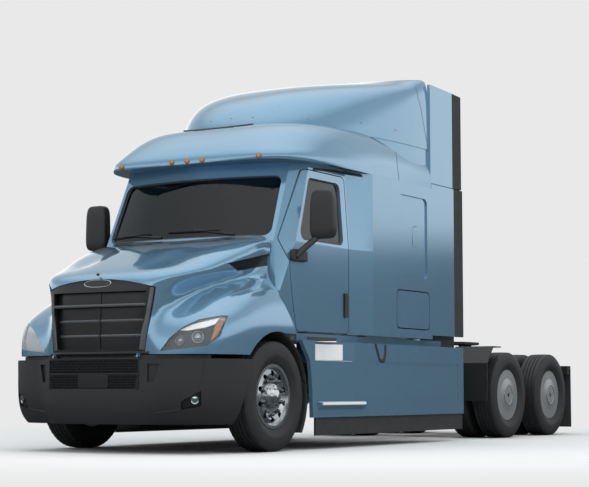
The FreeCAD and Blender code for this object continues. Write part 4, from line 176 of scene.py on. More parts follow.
# Painted cab
# Steel and composite panels of the cab, roof, bonnet and skirts, sprayed
# with a metallic base coat under a clear coat.
def set_surface(add, inputs, tones=None, rough=None):
    """Ends a finish with one shader; a pattern may spread its colour or its roughness between two ends."""
    if tones:
        pattern, first, last = tones
        inputs["Base Color"] = add("Mix", {"Factor": pattern, "A": linear(first), "B": linear(last)},
                                   data_type="RGBA")
    if rough:
        pattern, first, last = rough
        inputs["Roughness"] = add("MapRange", {"Value": pattern, "To Min": first, "To Max": last})
    add("OutputMaterial", {"Surface": add("BsdfPrincipled", inputs)})


def dress(finish, *names):
    """Gives the finish to each of these pieces of the frame."""
    for name in names:
        mesh = nodes[name].data
        mesh.materials.clear()
        mesh.materials.append(finish)


# Metallic base coat under clear coat: aluminium flakes turn the blue light
# and dark with the form, and the coat adds a sharp thin gloss. The flakes
# are drawn at 4 mm, coarser than real ones, so that they show.
flake_size = 0.004
metallic_paint, add, place = new_finish("metallic_blue_paint")
flakes = add("TexVoronoi", {"Vector": place, "Scale": 1 / flake_size})
set_surface(add, {"Metallic": 0.58, "Roughness": 0.12, "Coat Weight": 1.0, "Coat Roughness": 0.03},
            tones=(flakes, "#82A9C4", "#6990AB"))
dress(metallic_paint, "cab_shell", "sleeper_window_blanks", "roof_cap", "roof_fairing", "side_extenders",
      "chassis_fairings", "hood", "door_left", "door_right", "luggage_door_left", "luggage_door_right")


# Mouldings
# The bumper, quarter fenders, handles and grille are injection moulded, and
# the skirts, flaps and extender edges are cut from rubber sheet.

# Grained polypropylene: charcoal and satin, with a leather grain of 3.5 mm,
# drawn coarser than the real one.
grain_width, grain_depth = 0.0035, 0.001
charcoal_moulding, add, place = new_finish("charcoal_polypropylene")
grain = add("TexNoise", {"Vector": place, "Scale": 1 / grain_width, "Detail": 3.0})
bump = add("Bump", {"Height": grain, "Strength": 0.12, "Distance": grain_depth})
set_surface(add, {"Normal": bump, "Roughness": 0.42}, tones=(grain, "#202021", "#2C2C2D"))
dress(charcoal_moulding, "front_bumper", "drive_fenders", "door_handle_left", "door_handle_right")

# Acrylic-faced moulding: deeper black than the bumper, with a satin gloss
# that is uneven over 33 mm.
haze_width = 1 / 30
satin_black, add, place = new_finish("satin_black_acrylic")
haze = add("TexNoise", {"Vector": place, "Scale": 1 / haze_width, "Detail": 4.0})
set_surface(add, {"Base Color": linear("#1B1B1C")}, rough=(haze, 0.24, 0.36))
dress(satin_black, "grille")

# Rubber sheet: matt dark grey, with pale scuffs as wide as a hand, 83 mm.
scuff_width = 1 / 12
rubber_sheet, add, place = new_finish("black_rubber_sheet")
scuff = add("TexNoise", {"Vector": place, "Scale": 1 / scuff_width, "Detail": 6.0})
set_surface(add, {"Roughness": 0.7}, tones=(scuff, "#232324", "#3A3A3B"))
dress(rubber_sheet, "extender_rubbers", "fairing_skirts", "mud_flaps")


# Windows
# Laminated windscreen and tempered door glass with a grey tint, bedded in
# extruded rubber. Two wiper arms park along the windscreen's foot.
def piece(name, grids, finish, body, wall=0.0):
    """Joins grids of points into one smooth mesh; each grid is (points, closed round, closed along)."""
    corners, faces, start = [], [], 0
    for points, round_closed, along_closed in grids:
        index = start + np.arange(np.prod(points.shape[:-1])).reshape(points.shape[:-1])
        if round_closed:
            index = np.concatenate([index, index[..., :1]], axis=-1)
        if along_closed:
            index = np.concatenate([index, index[..., :1, :]], axis=-2)
        first, second = index[..., :-1, :], index[..., 1:, :]
        quads = np.stack([first[..., :-1], first[..., 1:], second[..., 1:], second[..., :-1]], axis=-1)
        corners.append(points.reshape(-1, 3))
        faces.append(quads.reshape(-1, 4))
        start += corners[-1].shape[0]
    mesh = bpy.data.meshes.new(name)
    mesh.from_pydata(np.concatenate(corners).tolist(), [], np.concatenate(faces).tolist())
    shell = bmesh.new()
    shell.from_mesh(mesh)
    bmesh.ops.remove_doubles(shell, verts=shell.verts, dist=same_point)
    bmesh.ops.dissolve_degenerate(shell, edges=shell.edges, dist=no_length)
    bmesh.ops.recalc_face_normals(shell, faces=shell.faces)
    shell.to_mesh(mesh)
    shell.free()
    mesh.shade_smooth()
    mesh.set_sharp_from_angle(angle=sharp_angle)
    mesh.materials.append(finish)
    made = bpy.data.objects.new(name, mesh)
    bpy.context.scene.collection.objects.link(made)
    if wall:
        made.modifiers.new("wall", "SOLIDIFY").thickness = wall
    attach(made, body)
    return made


def swept(path, outward, section, closed=False):
    """A profile carried along a path: path + sideways * s + outward * o, with open ends drawn to a point."""
    if closed:
        ahead = np.roll(path, -1, axis=0) - np.roll(path, 1, axis=0)
    else:
        ahead = np.gradient(path, axis=0)
    ahead = ahead / np.linalg.norm(ahead, axis=1, keepdims=True)
    out = np.broadcast_to(outward, path.shape)
    out = out - ahead * np.sum(out * ahead, axis=1, keepdims=True)
    out = out / np.linalg.norm(out, axis=1, keepdims=True)
    side = np.cross(ahead, out)
    rows = path[:, None] + side[:, None] * section[None, :, :1] + out[:, None] * section[None, :, 1:]
    if not closed:
        ends = rows[[0, -1]].mean(axis=1, keepdims=True) + 0 * rows[[0, -1]]
        rows = np.concatenate([ends[:1], rows, ends[1:]])
    return rows, True, closed


def bead_section(width, height, sunk=0.004):
    """Half an ellipse as wide and high as given, on a foot that is sunk into what carries it."""
    turn = np.linspace(0, np.pi, 9)
    arch = np.stack([width / 2 * np.cos(turn), height * np.sin(turn)], axis=1)
    return np.concatenate([arch, [[-width / 2, -sunk], [width / 2, -sunk]]])


def skin_of(name):
    """The named piece's surface, ready for straight lines to be shot at it."""
    copy = bmesh.new()
    copy.from_mesh(nodes[name].data)
    surface = BVHTree.FromBMesh(copy)
    copy.free()
    return surface


def on_skin(surface, starts, ways):
    """Where lines from the starts along their ways first meet the surface; lines that miss are dropped."""
    ways = np.broadcast_to(ways, np.shape(starts))
    hits = [surface.ray_cast(Vector(start), Vector(way))[0] for start, way in zip(starts, ways)]
    return np.array([hit for hit in hits if hit is not None])


def from_front(surface, x, z):
    """Points on a surface straight behind the places x, z: lines are shot backwards along +Y."""
    starts = np.stack([x, 0 * x - shot_from, z + 0 * x], axis=1)
    return on_skin(surface, starts, (0, 1, 0))


def from_side(surface, way, y, z):
    """Points on a surface straight inwards of the places y, z, from the left (1) or the right (-1)."""
    starts = np.stack([0 * y + way * shot_from, y, z + 0 * y], axis=1)
    return on_skin(surface, starts, (-way, 0, 0))


def even(path, count, closed=False):
    """The same outline walked in even steps: length along it is the parameter."""
    path = np.asarray(path, dtype=float)
    if closed:
        path = np.concatenate([path, path[:1]])
    run = np.concatenate([[0], np.cumsum(np.linalg.norm(np.diff(path, axis=0), axis=1))])
    places = np.linspace(0, run[-1], count, endpoint=not closed)
    return np.stack([np.interp(places, run, path[:, k]) for k in range(path.shape[1])], axis=1)


def rim_of(name, axes, share):
    """The named pane's outline in two axes: the hull of its corners, drawn to its middle by a share."""
    mesh = nodes[name].data
    corners = np.empty(len(mesh.vertices) * 3)
    mesh.vertices.foreach_get("co", corners)
    flat = corners.reshape(-1, 3)[:, axes]
    rim = even(flat[convex_hull_2d(flat.tolist())], rim_steps, closed=True)
    return rim.mean(axis=0) + (rim - rim.mean(axis=0)) * share


same_point, no_length, sharp_angle = 0.00005, 0.00001, math.radians(38)
shot_from = 6.0
rim_steps = 160
sides = (("left", 1), ("right", -1))
screen_out = (0, -0.85, 0.53)
gasket_share, gasket_width, gasket_height = 0.996, 0.026, 0.007
seal_share, seal_width, seal_height = 0.995, 0.034, 0.006
blades = (((-0.93, 2.085), (-0.40, 2.1)), ((-0.16, 2.1), (0.42, 2.098)))
arm_foot_z, arm_foot_beside, arm_above_blade = 2.06, 0.16, 0.02

# Laminated glass with a grey interlayer: dark from outside, with a thin clear
# reflection that is slightly hazy in patches of 333 mm, as wide as a wiper's sweep.
film_patch = 1 / 3
tinted_glass, add, place = new_finish("tinted_laminated_glass")
film_haze_and_painted_glare = add("TexNoise", {"Vector": place, "Scale": 1 / film_patch, "Detail": 3.0})
set_surface(add, {"Base Color": linear("#3B4042"), "Transmission Weight": 1.0, "IOR": 1.52},
            rough=(film_haze_and_painted_glare, 0.0, 0.04))
dress(tinted_glass, "windscreen", "door_glass_left", "door_glass_right")

# Extruded rubber: dark grey and satin, with fine streaks 11 mm apart.
streak_width = 1 / 90
gasket_rubber, add, place = new_finish("extruded_gasket_rubber")
streak = add("TexNoise", {"Vector": place, "Scale": 1 / streak_width, "Detail": 3.0})
set_surface(add, {"Roughness": 0.38}, tones=(streak, "#303032", "#46464A"))

screen = skin_of("windscreen")
rim = rim_of("windscreen", [0, 2], gasket_share)
gasket_section = bead_section(gasket_width, gasket_height)
gasket = swept(from_front(screen, rim[:, 0], rim[:, 1]), screen_out, gasket_section, closed=True)
piece("windscreen_gasket", [gasket], gasket_rubber, "chassis")

blade_section = bead_section(width=0.014, height=0.022, sunk=-0.002)
arm_section = bead_section(width=0.02, height=0.014, sunk=-0.012)
wipers = []
for (start_x, start_z), (end_x, end_z) in blades:
    blade = from_front(screen, np.linspace(start_x, end_x, 24), np.linspace(start_z, end_z, 24))
    arm_x = np.linspace(end_x + arm_foot_beside, (start_x + end_x) / 2, 16)
    arm = from_front(screen, arm_x, np.linspace(arm_foot_z, start_z + arm_above_blade, 16))
    wipers += [swept(blade, screen_out, blade_section), swept(arm, screen_out, arm_section)]
piece("windscreen_wipers", wipers, satin_black, "chassis")

for side, way in sides:
    pane = f"door_glass_{side}"
    rim = rim_of(pane, [1, 2], seal_share)
    edge = from_side(skin_of(pane), way, rim[:, 0], rim[:, 1])
    seal = swept(edge, (way, 0, 0), bead_section(seal_width, seal_height), closed=True)
    piece(f"door_glass_seal_{side}", [seal], gasket_rubber, f"cab_door_{side}")


# Mirrors
# Blow-moulded grey shells on a cast arm bolted to the door's front corner,
# with a flat silvered glass facing backwards. Places are given from the steer axle.
def rounded_block(low, high, squareness, rows=40, columns=56):
    """A closed form between two corners: each axis is a cosine or sine raised to one over the squareness."""
    low, high = np.array(low), np.array(high)
    lift = np.linspace(-np.pi / 2, np.pi / 2, rows)[:, None]
    turn = np.linspace(0, 2 * np.pi, columns, endpoint=False)[None]
    waves = (np.cos(lift), np.cos(turn), np.sin(turn), np.sin(lift))
    reach, along_x, along_y, along_z = (np.sign(wave) * np.abs(wave) ** (1 / squareness) for wave in waves)
    unit = np.stack([reach * along_x, reach * along_y, along_z + 0 * turn], axis=-1)
    return (low + high) / 2 + unit * (high - low) / 2, True, False


def on_side(grid, way):
    """The grid on the left (1) or mirrored to the right (-1): x becomes way * x."""
    points, round_closed, along_closed = grid
    return points * [way, 1, 1], round_closed, along_closed


steer_axle_y = -3.065
axle_shift = np.array([0, steer_axle_y, 0])
housing_low, housing_high = axle_shift + [1.225, 0.520, 2.010], axle_shift + [1.487, 0.650, 2.480]
housing_squareness, housing_taper, housing_back_cut = 2.6, 0.09, 0.016
foot_low, foot_high = axle_shift + [1.135, 0.312, 1.790], axle_shift + [1.179, 0.606, 1.905]
arm_line = axle_shift + [(1.157, 0.400, 1.834), (1.20, 0.455, 1.90), (1.28, 0.56, 2.01), (1.318, 0.60, 2.07)]
arm_half_width, arm_half_height, arm_up = 0.04, 0.027, (0, -0.5, 0.8)
glass_low, glass_high = housing_low + [0.022, 0.112, 0.025], housing_high - [0.03, 0.012, 0.03]
foot_squareness, glass_squareness = 3.0, 3.2

# Silvered glass: a near perfect mirror with a trace of haze 50 mm wide.
haze_width = 0.05
mirror_silver, add, place = new_finish("silvered_mirror_glass")
haze = add("TexNoise", {"Vector": place, "Scale": 1 / haze_width})
set_surface(add, {"Base Color": linear("#D5D8DA"), "Metallic": 1.0}, rough=(haze, 0.01, 0.04))

housing = rounded_block(housing_low, housing_high, housing_squareness)
points = housing[0]
height_share = (points[..., 2] - housing_low[2]) / (housing_high[2] - housing_low[2])
middle_x = (housing_low[0] + housing_high[0]) / 2
points[..., 0] = middle_x + (points[..., 0] - middle_x) * (1 - housing_taper * height_share ** 2)
points[..., 1] = np.minimum(points[..., 1], housing_high[1] - housing_back_cut)
turn = np.linspace(0, 2 * np.pi, 12, endpoint=False)
arm_section = np.stack([arm_half_width * np.cos(turn), arm_half_height * np.sin(turn)], axis=1)
arm = swept(even(arm_line, 16), arm_up, arm_section)
foot = rounded_block(foot_low, foot_high, foot_squareness)
glass = rounded_block(glass_low, glass_high, glass_squareness)
for side, way in sides:
    shell = [on_side(grid, way) for grid in (housing, arm, foot)]
    mirror = piece(f"mirror_housing_{side}", shell, charcoal_moulding, f"cab_door_{side}")
    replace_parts(mirror, f"mirror_{side}")
    piece(f"mirror_glass_{side}", [on_side(glass, way)], mirror_silver, f"cab_door_{side}")


# Chassis
# Pressed steel rails, cast axle parts and sheet aluminium tanks, bolted
# together and sprayed or left bare.

# Sprayed enamel with road dust: black, warmer and duller in patches of 111 mm.
dust_width = 1 / 9
frame_paint, add, place = new_finish("black_chassis_enamel")
dust = add("TexNoise", {"Vector": place, "Scale": 1 / dust_width, "Detail": 8.0})
set_surface(add, {}, tones=(dust, "#171717", "#2B2A29"), rough=(dust, 0.35, 0.6))
dress(frame_paint, "frame_rails", "crossmembers", "steer_springs", "drive_suspension", "rear_light_bar",
      "hood_brackets")

# Sand castings: dark grey with the mould's grain, drawn at 4 mm, coarser than
# real sand, so that it shows.
sand_width, sand_depth = 1 / 260, 0.002
cast_iron, add, place = new_finish("sand_cast_iron")
sand = add("TexNoise", {"Vector": place, "Scale": 1 / sand_width, "Detail": 4.0})
bump = add("Bump", {"Height": sand, "Strength": 0.35, "Distance": sand_depth})
set_surface(add, {"Normal": bump, "Metallic": 0.3, "Roughness": 0.6}, tones=(sand, "#232323", "#3D3B39"))
dress(cast_iron, "steer_axle_beam", "drive_axles", "engine_block", "propeller_shafts", "fifth_wheel_bracket",
      "fifth_wheel_plate", "tie_rod", "knuckle_left", "knuckle_right")

# Brushed sheet: fine lines along the truck spread the highlight. They are
# drawn 2.5 mm apart, coarser than a brush leaves them, and 50 times as long.
line_spacing, line_stretch = 0.0025, 50
brushed_aluminium, add, place = new_finish("brushed_aluminium_sheet")
stretched = add("Mapping", {"Vector": place, "Scale": (1.0, 1 / line_stretch, 1.0)})
lines = add("TexNoise", {"Vector": stretched, "Scale": 1 / line_spacing, "Detail": 3.0})
set_surface(add, {"Base Color": linear("#C9CBCD"), "Metallic": 1.0}, rough=(lines, 0.25, 0.42))
dress(brushed_aluminium, "radiator", "fuel_tanks")


# Steer and drive tyres
# Ribbed highway radials of black rubber on steel cords. Each is a ring whose
# section has four straight grooves, a fluted shoulder and a bulged sidewall.
def turned(profile, middle, steps):
    """A ring about the X axis: each profile row is (across, radius), swept by an angle of 0 to 2 pi."""
    angle = np.linspace(0, 2 * np.pi, steps, endpoint=False)[:, None]
    across, radius = profile[:, 0], profile[:, 1]
    x = middle[0] + across + 0 * angle
    y, z = middle[1] + radius * np.cos(angle), middle[2] + radius * np.sin(angle)
    return np.stack([x, y, z], axis=-1), False, True


axle_height = 0.51
drive_axle_y = {"front": 2.215, "rear": 3.536}
steer_track_half, drive_track_half, dual_half = 1.052, 0.915, 0.1715
tyre_radius, tread_half, crown_drop = 0.51, 0.112, 0.003
groove_places = np.array([-0.066, -0.022, 0.022, 0.066])
groove_half, groove_depth = 0.0055, 0.011
groove_edge_shares = np.array([-1.35, -1.0, -0.95, 0.95, 1.0, 1.35])
groove_depth_shares = [0.0, 0.15, 1.0, 1.0, 0.15, 0.0]
sidewall_half, bead_half, bead_radius = 0.14, 0.0957, 0.299
bulge_radius, shoulder_radius, shoulder_half = 0.392, 0.488, 0.127
side_ring_depth, side_ring_every = 0.0012, 5
flute_steps, flute_every, flute_depth = 240, 4, 0.0035
flute_middle, flute_half = 0.118, 0.0105

crown_across = (groove_places[:, None] + groove_edge_shares * groove_half).ravel()
groove_drop = np.tile(groove_depth_shares, groove_places.size) * groove_depth
crown_radius = tyre_radius - crown_drop * (crown_across / tread_half) ** 2 - groove_drop
edge_share = np.sin(np.linspace(0, np.pi / 2, 5))
edge_across = shoulder_half - (shoulder_half - tread_half) * edge_share
edge_radius = shoulder_radius + (tyre_radius - crown_drop - shoulder_radius) * edge_share
side_radius = np.linspace(bead_radius, shoulder_radius, 15)[:-1]
below = side_radius < bulge_radius
span = np.where(below, bulge_radius - bead_radius, shoulder_radius - bulge_radius)
swell = (side_radius - bulge_radius) / span
side_drop = sidewall_half - np.where(below, bead_half, shoulder_half)
side_rings = np.arange(side_radius.size) % side_ring_every == 3
side_across = sidewall_half - side_drop * swell ** 2 - side_ring_depth * side_rings
half_across = np.concatenate([side_across, edge_across])
half = np.stack([half_across, np.concatenate([side_radius, edge_radius])], axis=1)
crown = np.stack([crown_across, crown_radius], axis=1)
tyre_profile = np.concatenate([half * [-1, 1], crown, half[::-1]])
shoulder_rows = np.abs(np.abs(tyre_profile[:, 0]) - flute_middle) < flute_half


def tyre_ring(x, y):
    """The tyre's profile turned about the axle, with every fourth step of the shoulder sunk."""
    middle = np.array([x, y, axle_height])
    ring = turned(tyre_profile, middle, flute_steps)[0]
    out = (ring - middle) * [0, 1, 1]
    sunk = flute_depth * (np.arange(flute_steps) % flute_every < 1)[:, None] * shoulder_rows
    return ring - out / np.linalg.norm(out, axis=-1, keepdims=True) * sunk[..., None], False, True


# Vulcanised rubber: dull black with a dusty bloom in patches of 33 mm, and a
# mould grain that is drawn at 2 mm, coarser than the real one.
bloom_width, skin_width, skin_depth = 1 / 30, 0.002, 0.0006
tread_rubber, add, place = new_finish("black_tread_rubber")
bloom = add("TexNoise", {"Vector": place, "Scale": 1 / bloom_width, "Detail": 6.0})
skin = add("TexNoise", {"Vector": place, "Scale": 1 / skin_width})
bump = add("Bump", {"Height": skin, "Strength": 0.15, "Distance": skin_depth})
set_surface(add, {"Normal": bump, "Roughness": 0.58}, tones=(bloom, "#1B1B1C", "#303031"))

for side, way in sides:
    ring = tyre_ring(way * steer_track_half, steer_axle_y)
    body = f"steer_wheel_unit_{side}"
    tyre = piece(f"ribbed_steer_tyre_{side}", [ring], tread_rubber, body)
    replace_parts(tyre, f"steer_tyre_{side}")
    for row, y in drive_axle_y.items():
        rings = [tyre_ring(way * (drive_track_half + offset), y) for offset in (-dual_half, dual_half)]
        body = f"drive_wheel_unit_{row}_{side}"
        tyres = piece(f"ribbed_drive_tyres_{row}_{side}", rings, tread_rubber, body)
        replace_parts(tyres, f"drive_tyres_{row}_{side}")


# Wheels
# Forged aluminium discs, machined and polished. Steel nuts with pressed
# caps hold them, and spun covers close the outer drive wheels.

# Polished metal: a near mirror with faint swirls 22 mm wide from the polishing wheel.
swirl_width = 1 / 45
polished_aluminium, add, place = new_finish("polished_forged_aluminium")
swirl = add("TexNoise", {"Vector": place, "Scale": 1 / swirl_width, "Detail": 5.0})
set_surface(add, {"Base Color": linear("#D2D3D5"), "Metallic": 1.0}, rough=(swirl, 0.16, 0.3))
dress(polished_aluminium, "steer_wheel_left", "steer_wheel_right")

# Spun and lacquered sheet: darker than the rim, with a satin sheen in soft
# bands 56 mm wide.
band_width = 1 / 18
spun_cover, add, place = new_finish("spun_aluminium_cover")
sheen = add("TexNoise", {"Vector": place, "Scale": 1 / band_width, "Detail": 6.0})
set_surface(add, {"Base Color": linear("#A9AAAC"), "Metallic": 0.7}, rough=(sheen, 0.3, 0.45))
dress(spun_cover, *[f"drive_wheels_{row}_{side}" for row in drive_axle_y for side, _ in sides])

# Plated steel: grey, slightly mottled by zinc crystals, which are drawn at 6 mm.
crystal_size = 0.00625
zinc_steel, add, place = new_finish("bright_zinc_steel")
mottle = add("TexVoronoi", {"Vector": place, "Scale": 1 / crystal_size})
set_surface(add, {"Base Color": linear("#8A8C90"), "Metallic": 1.0}, rough=(mottle, 0.22, 0.4))

nut_shares = np.array([[0, 1.35], [0.1, 1.35], [0.16, 1.0], [0.75, 1.0], [0.93, 0.72], [1.0, 0.0]])
nut_face, bolt_face = steer_track_half + 0.082, steer_track_half + 0.104
nut_count, nut_circle, nut_height, nut_radius = 10, 0.1675, 0.034, 0.019
bolt_count, bolt_circle, bolt_height, bolt_radius = 8, 0.096, 0.012, 0.0075
cover_face = drive_track_half + dual_half + 0.119
cover_ring = np.array([[0.0, 0.115], [0.0025, 0.117], [0.003, 0.12], [0.0025, 0.123], [0.0, 0.125]])


def hexagon_heads(way, angles, face, circle, height, radius):
    """Heads on a circle round the steer axle: the nut's profile, scaled and turned in six steps."""
    middles = [(way * face, steer_axle_y + circle * math.cos(turn), axle_height + circle * math.sin(turn))
               for turn in angles]
    return [turned(nut_shares * [way * height, radius], middle, 6) for middle in middles]


for side, way in sides:
    body = f"steer_wheel_unit_{side}"
    angles = 2 * np.pi * (np.arange(nut_count) + 0.5) / nut_count
    nuts = hexagon_heads(way, angles, nut_face, nut_circle, nut_height, nut_radius)
    piece(f"wheel_nuts_{side}", nuts, zinc_steel, body)
    angles = 2 * np.pi * np.arange(bolt_count) / bolt_count
    bolts = hexagon_heads(way, angles, bolt_face, bolt_circle, bolt_height, bolt_radius)
    piece(f"hub_cap_bolts_{side}", bolts, zinc_steel, body)
    for row, y in drive_axle_y.items():
        ring = turned(cover_ring * [way, 1], (way * cover_face, y, axle_height), 64)
        body = f"drive_wheel_unit_{row}_{side}"
        piece(f"cover_ring_{row}_{side}", [ring], polished_aluminium, body)


# Headlamps
# A clear moulded cover follows the bonnet's corner. Behind it are a black
# bezel, two bright projectors, a white light guide and an amber end.
corner_turn = math.radians(30)
across = np.array([math.cos(corner_turn), math.sin(corner_turn), 0])
inward = np.array([-math.sin(corner_turn), math.cos(corner_turn), 0])
outline_steps = 72


def corner_patch(surface, outline, profile, way, under=0.0):
    """
    A patch seen from the truck's corner, its outline in millimetres across and up.
    Each row of the profile is a ring: a share of the outline, and its depth below the skin.
    """
    shares, depths = np.array(profile).T
    flat = even(outline, outline_steps, closed=True) / 1000
    middle = flat.mean(axis=0)
    flat = (middle + (flat - middle)[None] * shares[:, None, None]).reshape(-1, 2)
    starts = flat[:, :1] * across + axle_shift - inward * shot_from
    starts[:, 2] = flat[:, 1]
    runs = [surface.ray_cast(Vector(start), Vector(inward))[3] or shot_from for start in starts]
    sunk = np.array(runs) + np.repeat(depths + under, outline_steps)
    points = (starts + sunk[:, None] * inward).reshape(shares.size, outline_steps, 3)
    return on_side((points, True, False), way)


def round_outline(middle_x, middle_z, radius):
    """A circle in millimetres, seen from the corner."""
    turn = np.linspace(0, 2 * np.pi, 36, endpoint=False)
    return np.stack([middle_x + radius * np.cos(turn), middle_z + radius * np.sin(turn)], axis=1)


# Hard-coated clear polycarbonate: all but unseen face on. Its pale colour shows where
# the eye meets it at a low angle: a painted white glare that stands for its reflection.
cover_index = 1.58
lamp_cover, add, place = new_finish("clear_polycarbonate_cover")
glare = add("Fresnel", {"IOR": cover_index})
# Opacity of the pale colour rises with the Fresnel factor: painted glare.
film_haze_and_painted_glare = add("MapRange", {"Value": glare, "From Min": 0.03, "From Max": 0.6, "To Min": 0.07, "To Max": 0.85})
set_surface(add, {"Base Color": linear("#C9CED2"), "Alpha": film_haze_and_painted_glare, "IOR": cover_index, "Roughness": 0.03})
dress(lamp_cover, "headlamps")

# Aluminium vapour on moulded plastic: a bright mirror with a faint orange
# peel 17 mm wide.
peel_width = 1 / 60
chrome_reflector, add, place = new_finish("vacuum_metallised_chrome")
peel = add("TexNoise", {"Vector": place, "Scale": 1 / peel_width})
set_surface(add, {"Base Color": linear("#DCDEE0"), "Metallic": 1.0}, rough=(peel, 0.05, 0.14))

# Milky acrylic: bright white and glossy, with very faint optic ribs 12 mm wide. It also
# glows faintly though the lamp is off: a painted glow.
rib_width = 0.0125
light_guide, add, place = new_finish("milky_light_guide")
ribs = add("TexNoise", {"Vector": place, "Scale": 1 / rib_width})
white_and_painted_glow = linear("#F4F6F7")
set_surface(add, {"Base Color": white_and_painted_glow, "Emission Color": white_and_painted_glow, "Emission Strength": 0.35},
            rough=(ribs, 0.08, 0.2))

# Dyed acrylic over a reflector: warm orange, deeper in thick patches of 40 mm.
thick_patch = 0.04
amber_acrylic, add, place = new_finish("amber_acrylic")
depth = add("TexNoise", {"Vector": place, "Scale": 1 / thick_patch})
set_surface(add, {"Roughness": 0.15}, tones=(depth, "#B5651F", "#E9A468"))

lens_depth = 0.033
lamp_outline = [(17, 914), (248, 933), (442, 957), (556, 1046), (617, 1228), (568, 1230), (362, 1190),
                (218, 1121), (99, 1022)]
guide_outline = [(190, 1094), (300, 1146), (420, 1178), (550, 1208), (508, 1150), (420, 1118), (270, 1092)]
amber_outline = [(464, 988), (500, 1127), (554, 1200), (588, 1202), (562, 1113), (526, 1044)]
projectors = [round_outline(196, 1006, 44), round_outline(356, 1036, 58)]
bezel_rings = ((0.99, 0.0), (0.985, 0.015), (0.978, 0.036), (0.6, 0.04), (0.3, 0.04), (0.0, 0.04))
bowl_rings = ((1.0, 0.03), (0.94, 0.004), (0.86, 0.006), (0.62, 0.026), (0.6, 0.03), (0.0, 0.03))
eye_rings = ((0.62, 0.03), (0.58, 0.014), (0.5, 0.008), (0.35, 0.004), (0.18, 0.002), (0.0, 0.0015))
guide_rings = ((1.0, 0.028), (0.97, 0.004), (0.85, 0.002), (0.5, 0.001), (0.0, 0.001))
amber_rings = ((1.0, 0.026), (0.95, 0.006), (0.8, 0.003), (0.5, 0.002), (0.0, 0.002))
bezel_wall, optic_wall = 0.003, 0.001
lamp_parts = (
    ("headlamp_bezel", [lamp_outline], bezel_rings, satin_black, "gloss_black", bezel_wall),
    ("headlamp_reflectors", projectors, bowl_rings, chrome_reflector, "polished_alloy", optic_wall),
    ("headlamp_projectors", projectors, eye_rings, chrome_reflector, "clear_lens", optic_wall),
    ("headlamp_light_guide", [guide_outline], guide_rings, light_guide, "clear_lens", optic_wall),
    ("headlamp_indicator", [amber_outline], amber_rings, amber_acrylic, "amber_lens", optic_wall),
)
lamp_skin = skin_of("headlamps")
for side, way in sides:
    for name, outlines, rings, finish, slot_name, wall in lamp_parts:
        patches = [corner_patch(lamp_skin, outline, rings, way, lens_depth) for outline in outlines]
        piece(f"{name}_{side}", patches, finish, "hood_unit", wall)


# Marker and tail lamps
# Moulded acrylic lenses, dyed in the mass: small amber domes along the roof's
# brow, and red lamps in the bar at the rear.

# Amber acrylic on a dark base: a warm orange eye, deeper in thick patches of 25 mm,
# and brown where it turns away from the eye: a painted shade on the dome's rim.
thick_patch, patch_weight = 0.025, 0.3
marker_amber, add, place = new_finish("deep_amber_acrylic")
depth = add("TexNoise", {"Vector": place, "Scale": 1 / thick_patch})
turned_away = add("LayerWeight", {"Blend": 0.5}).outputs["Facing"]
depth_and_painted_shade = add("Math", {0: depth, 1: patch_weight, 2: turned_away}, operation="MULTIPLY_ADD")
set_surface(add, {"Roughness": 0.12}, tones=(depth_and_painted_shade, "#CF8236", "#4A2A10"))
dress(marker_amber, "marker_lamps")

# Red acrylic: deep red with a bright sharp gloss over faint optic ribs.
red_acrylic, add, place = new_finish("red_acrylic")
ribs = add("TexNoise", {"Vector": place, "Scale": 1 / rib_width})
set_surface(add, {"Base Color": linear("#A3131A")}, rough=(ribs, 0.05, 0.15))
dress(red_acrylic, "tail_lamps")


# Bumper
# A moulded bumper with a honeycomb intake, a bare number plate panel, fog
# lamps in its corners and a rubber strip that closes the gap to the bonnet.
def seen_on(surface, pixels, count=0):
    """Points on a surface behind these pixels of the photograph, or behind a line drawn through them."""
    line = even(pixels, count) if count else np.array(pixels, dtype=float)
    sight = np.stack([line[:, 0] - picture_size[0] / 2, picture_size[1] / 2 - line[:, 1],
                      0 * line[:, 0] - focal_pixels], axis=1)
    ways = sight @ np.array(camera.rotation_euler.to_matrix()).T
    return on_skin(surface, np.broadcast_to(lens_place, ways.shape), ways)


def pair(grid):
    """The grid and its mirror image."""
    return [grid, on_side(grid, -1)]


def strip_section(thick, high):
    """An upright rectangle that stands on the path."""
    return np.array([(-thick / 2, 0), (thick / 2, 0), (thick / 2, high), (-thick / 2, high)])


mesh_low, mesh_high = (np.array(corner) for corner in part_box("bumper_mesh"))
cell_pitch, cell_wall_share, cell_floor_share, cell_depth, cell_lip = 0.027, 0.8, 0.752, 0.011, 0.002
columns_each_side, row_count = 24, 14
edge_gap, bar_gap = cell_pitch * 0.6, cell_pitch * 0.4
plate_half, plate_margin, plate_thick, plate_squareness = 0.17, 0.006, 0.012, 6
frame_inset, frame_share = 0.006, 0.99
backing_thick, backing_squareness = 0.002, 9
frame_section = bead_section(width=0.012, height=0.005, sunk=0.006)
bar_section = bead_section(width=0.022, height=0.004, sunk=0.006)
bar_z = (mesh_low[2] + mesh_high[2]) / 2
plate_under_bar = 0.008

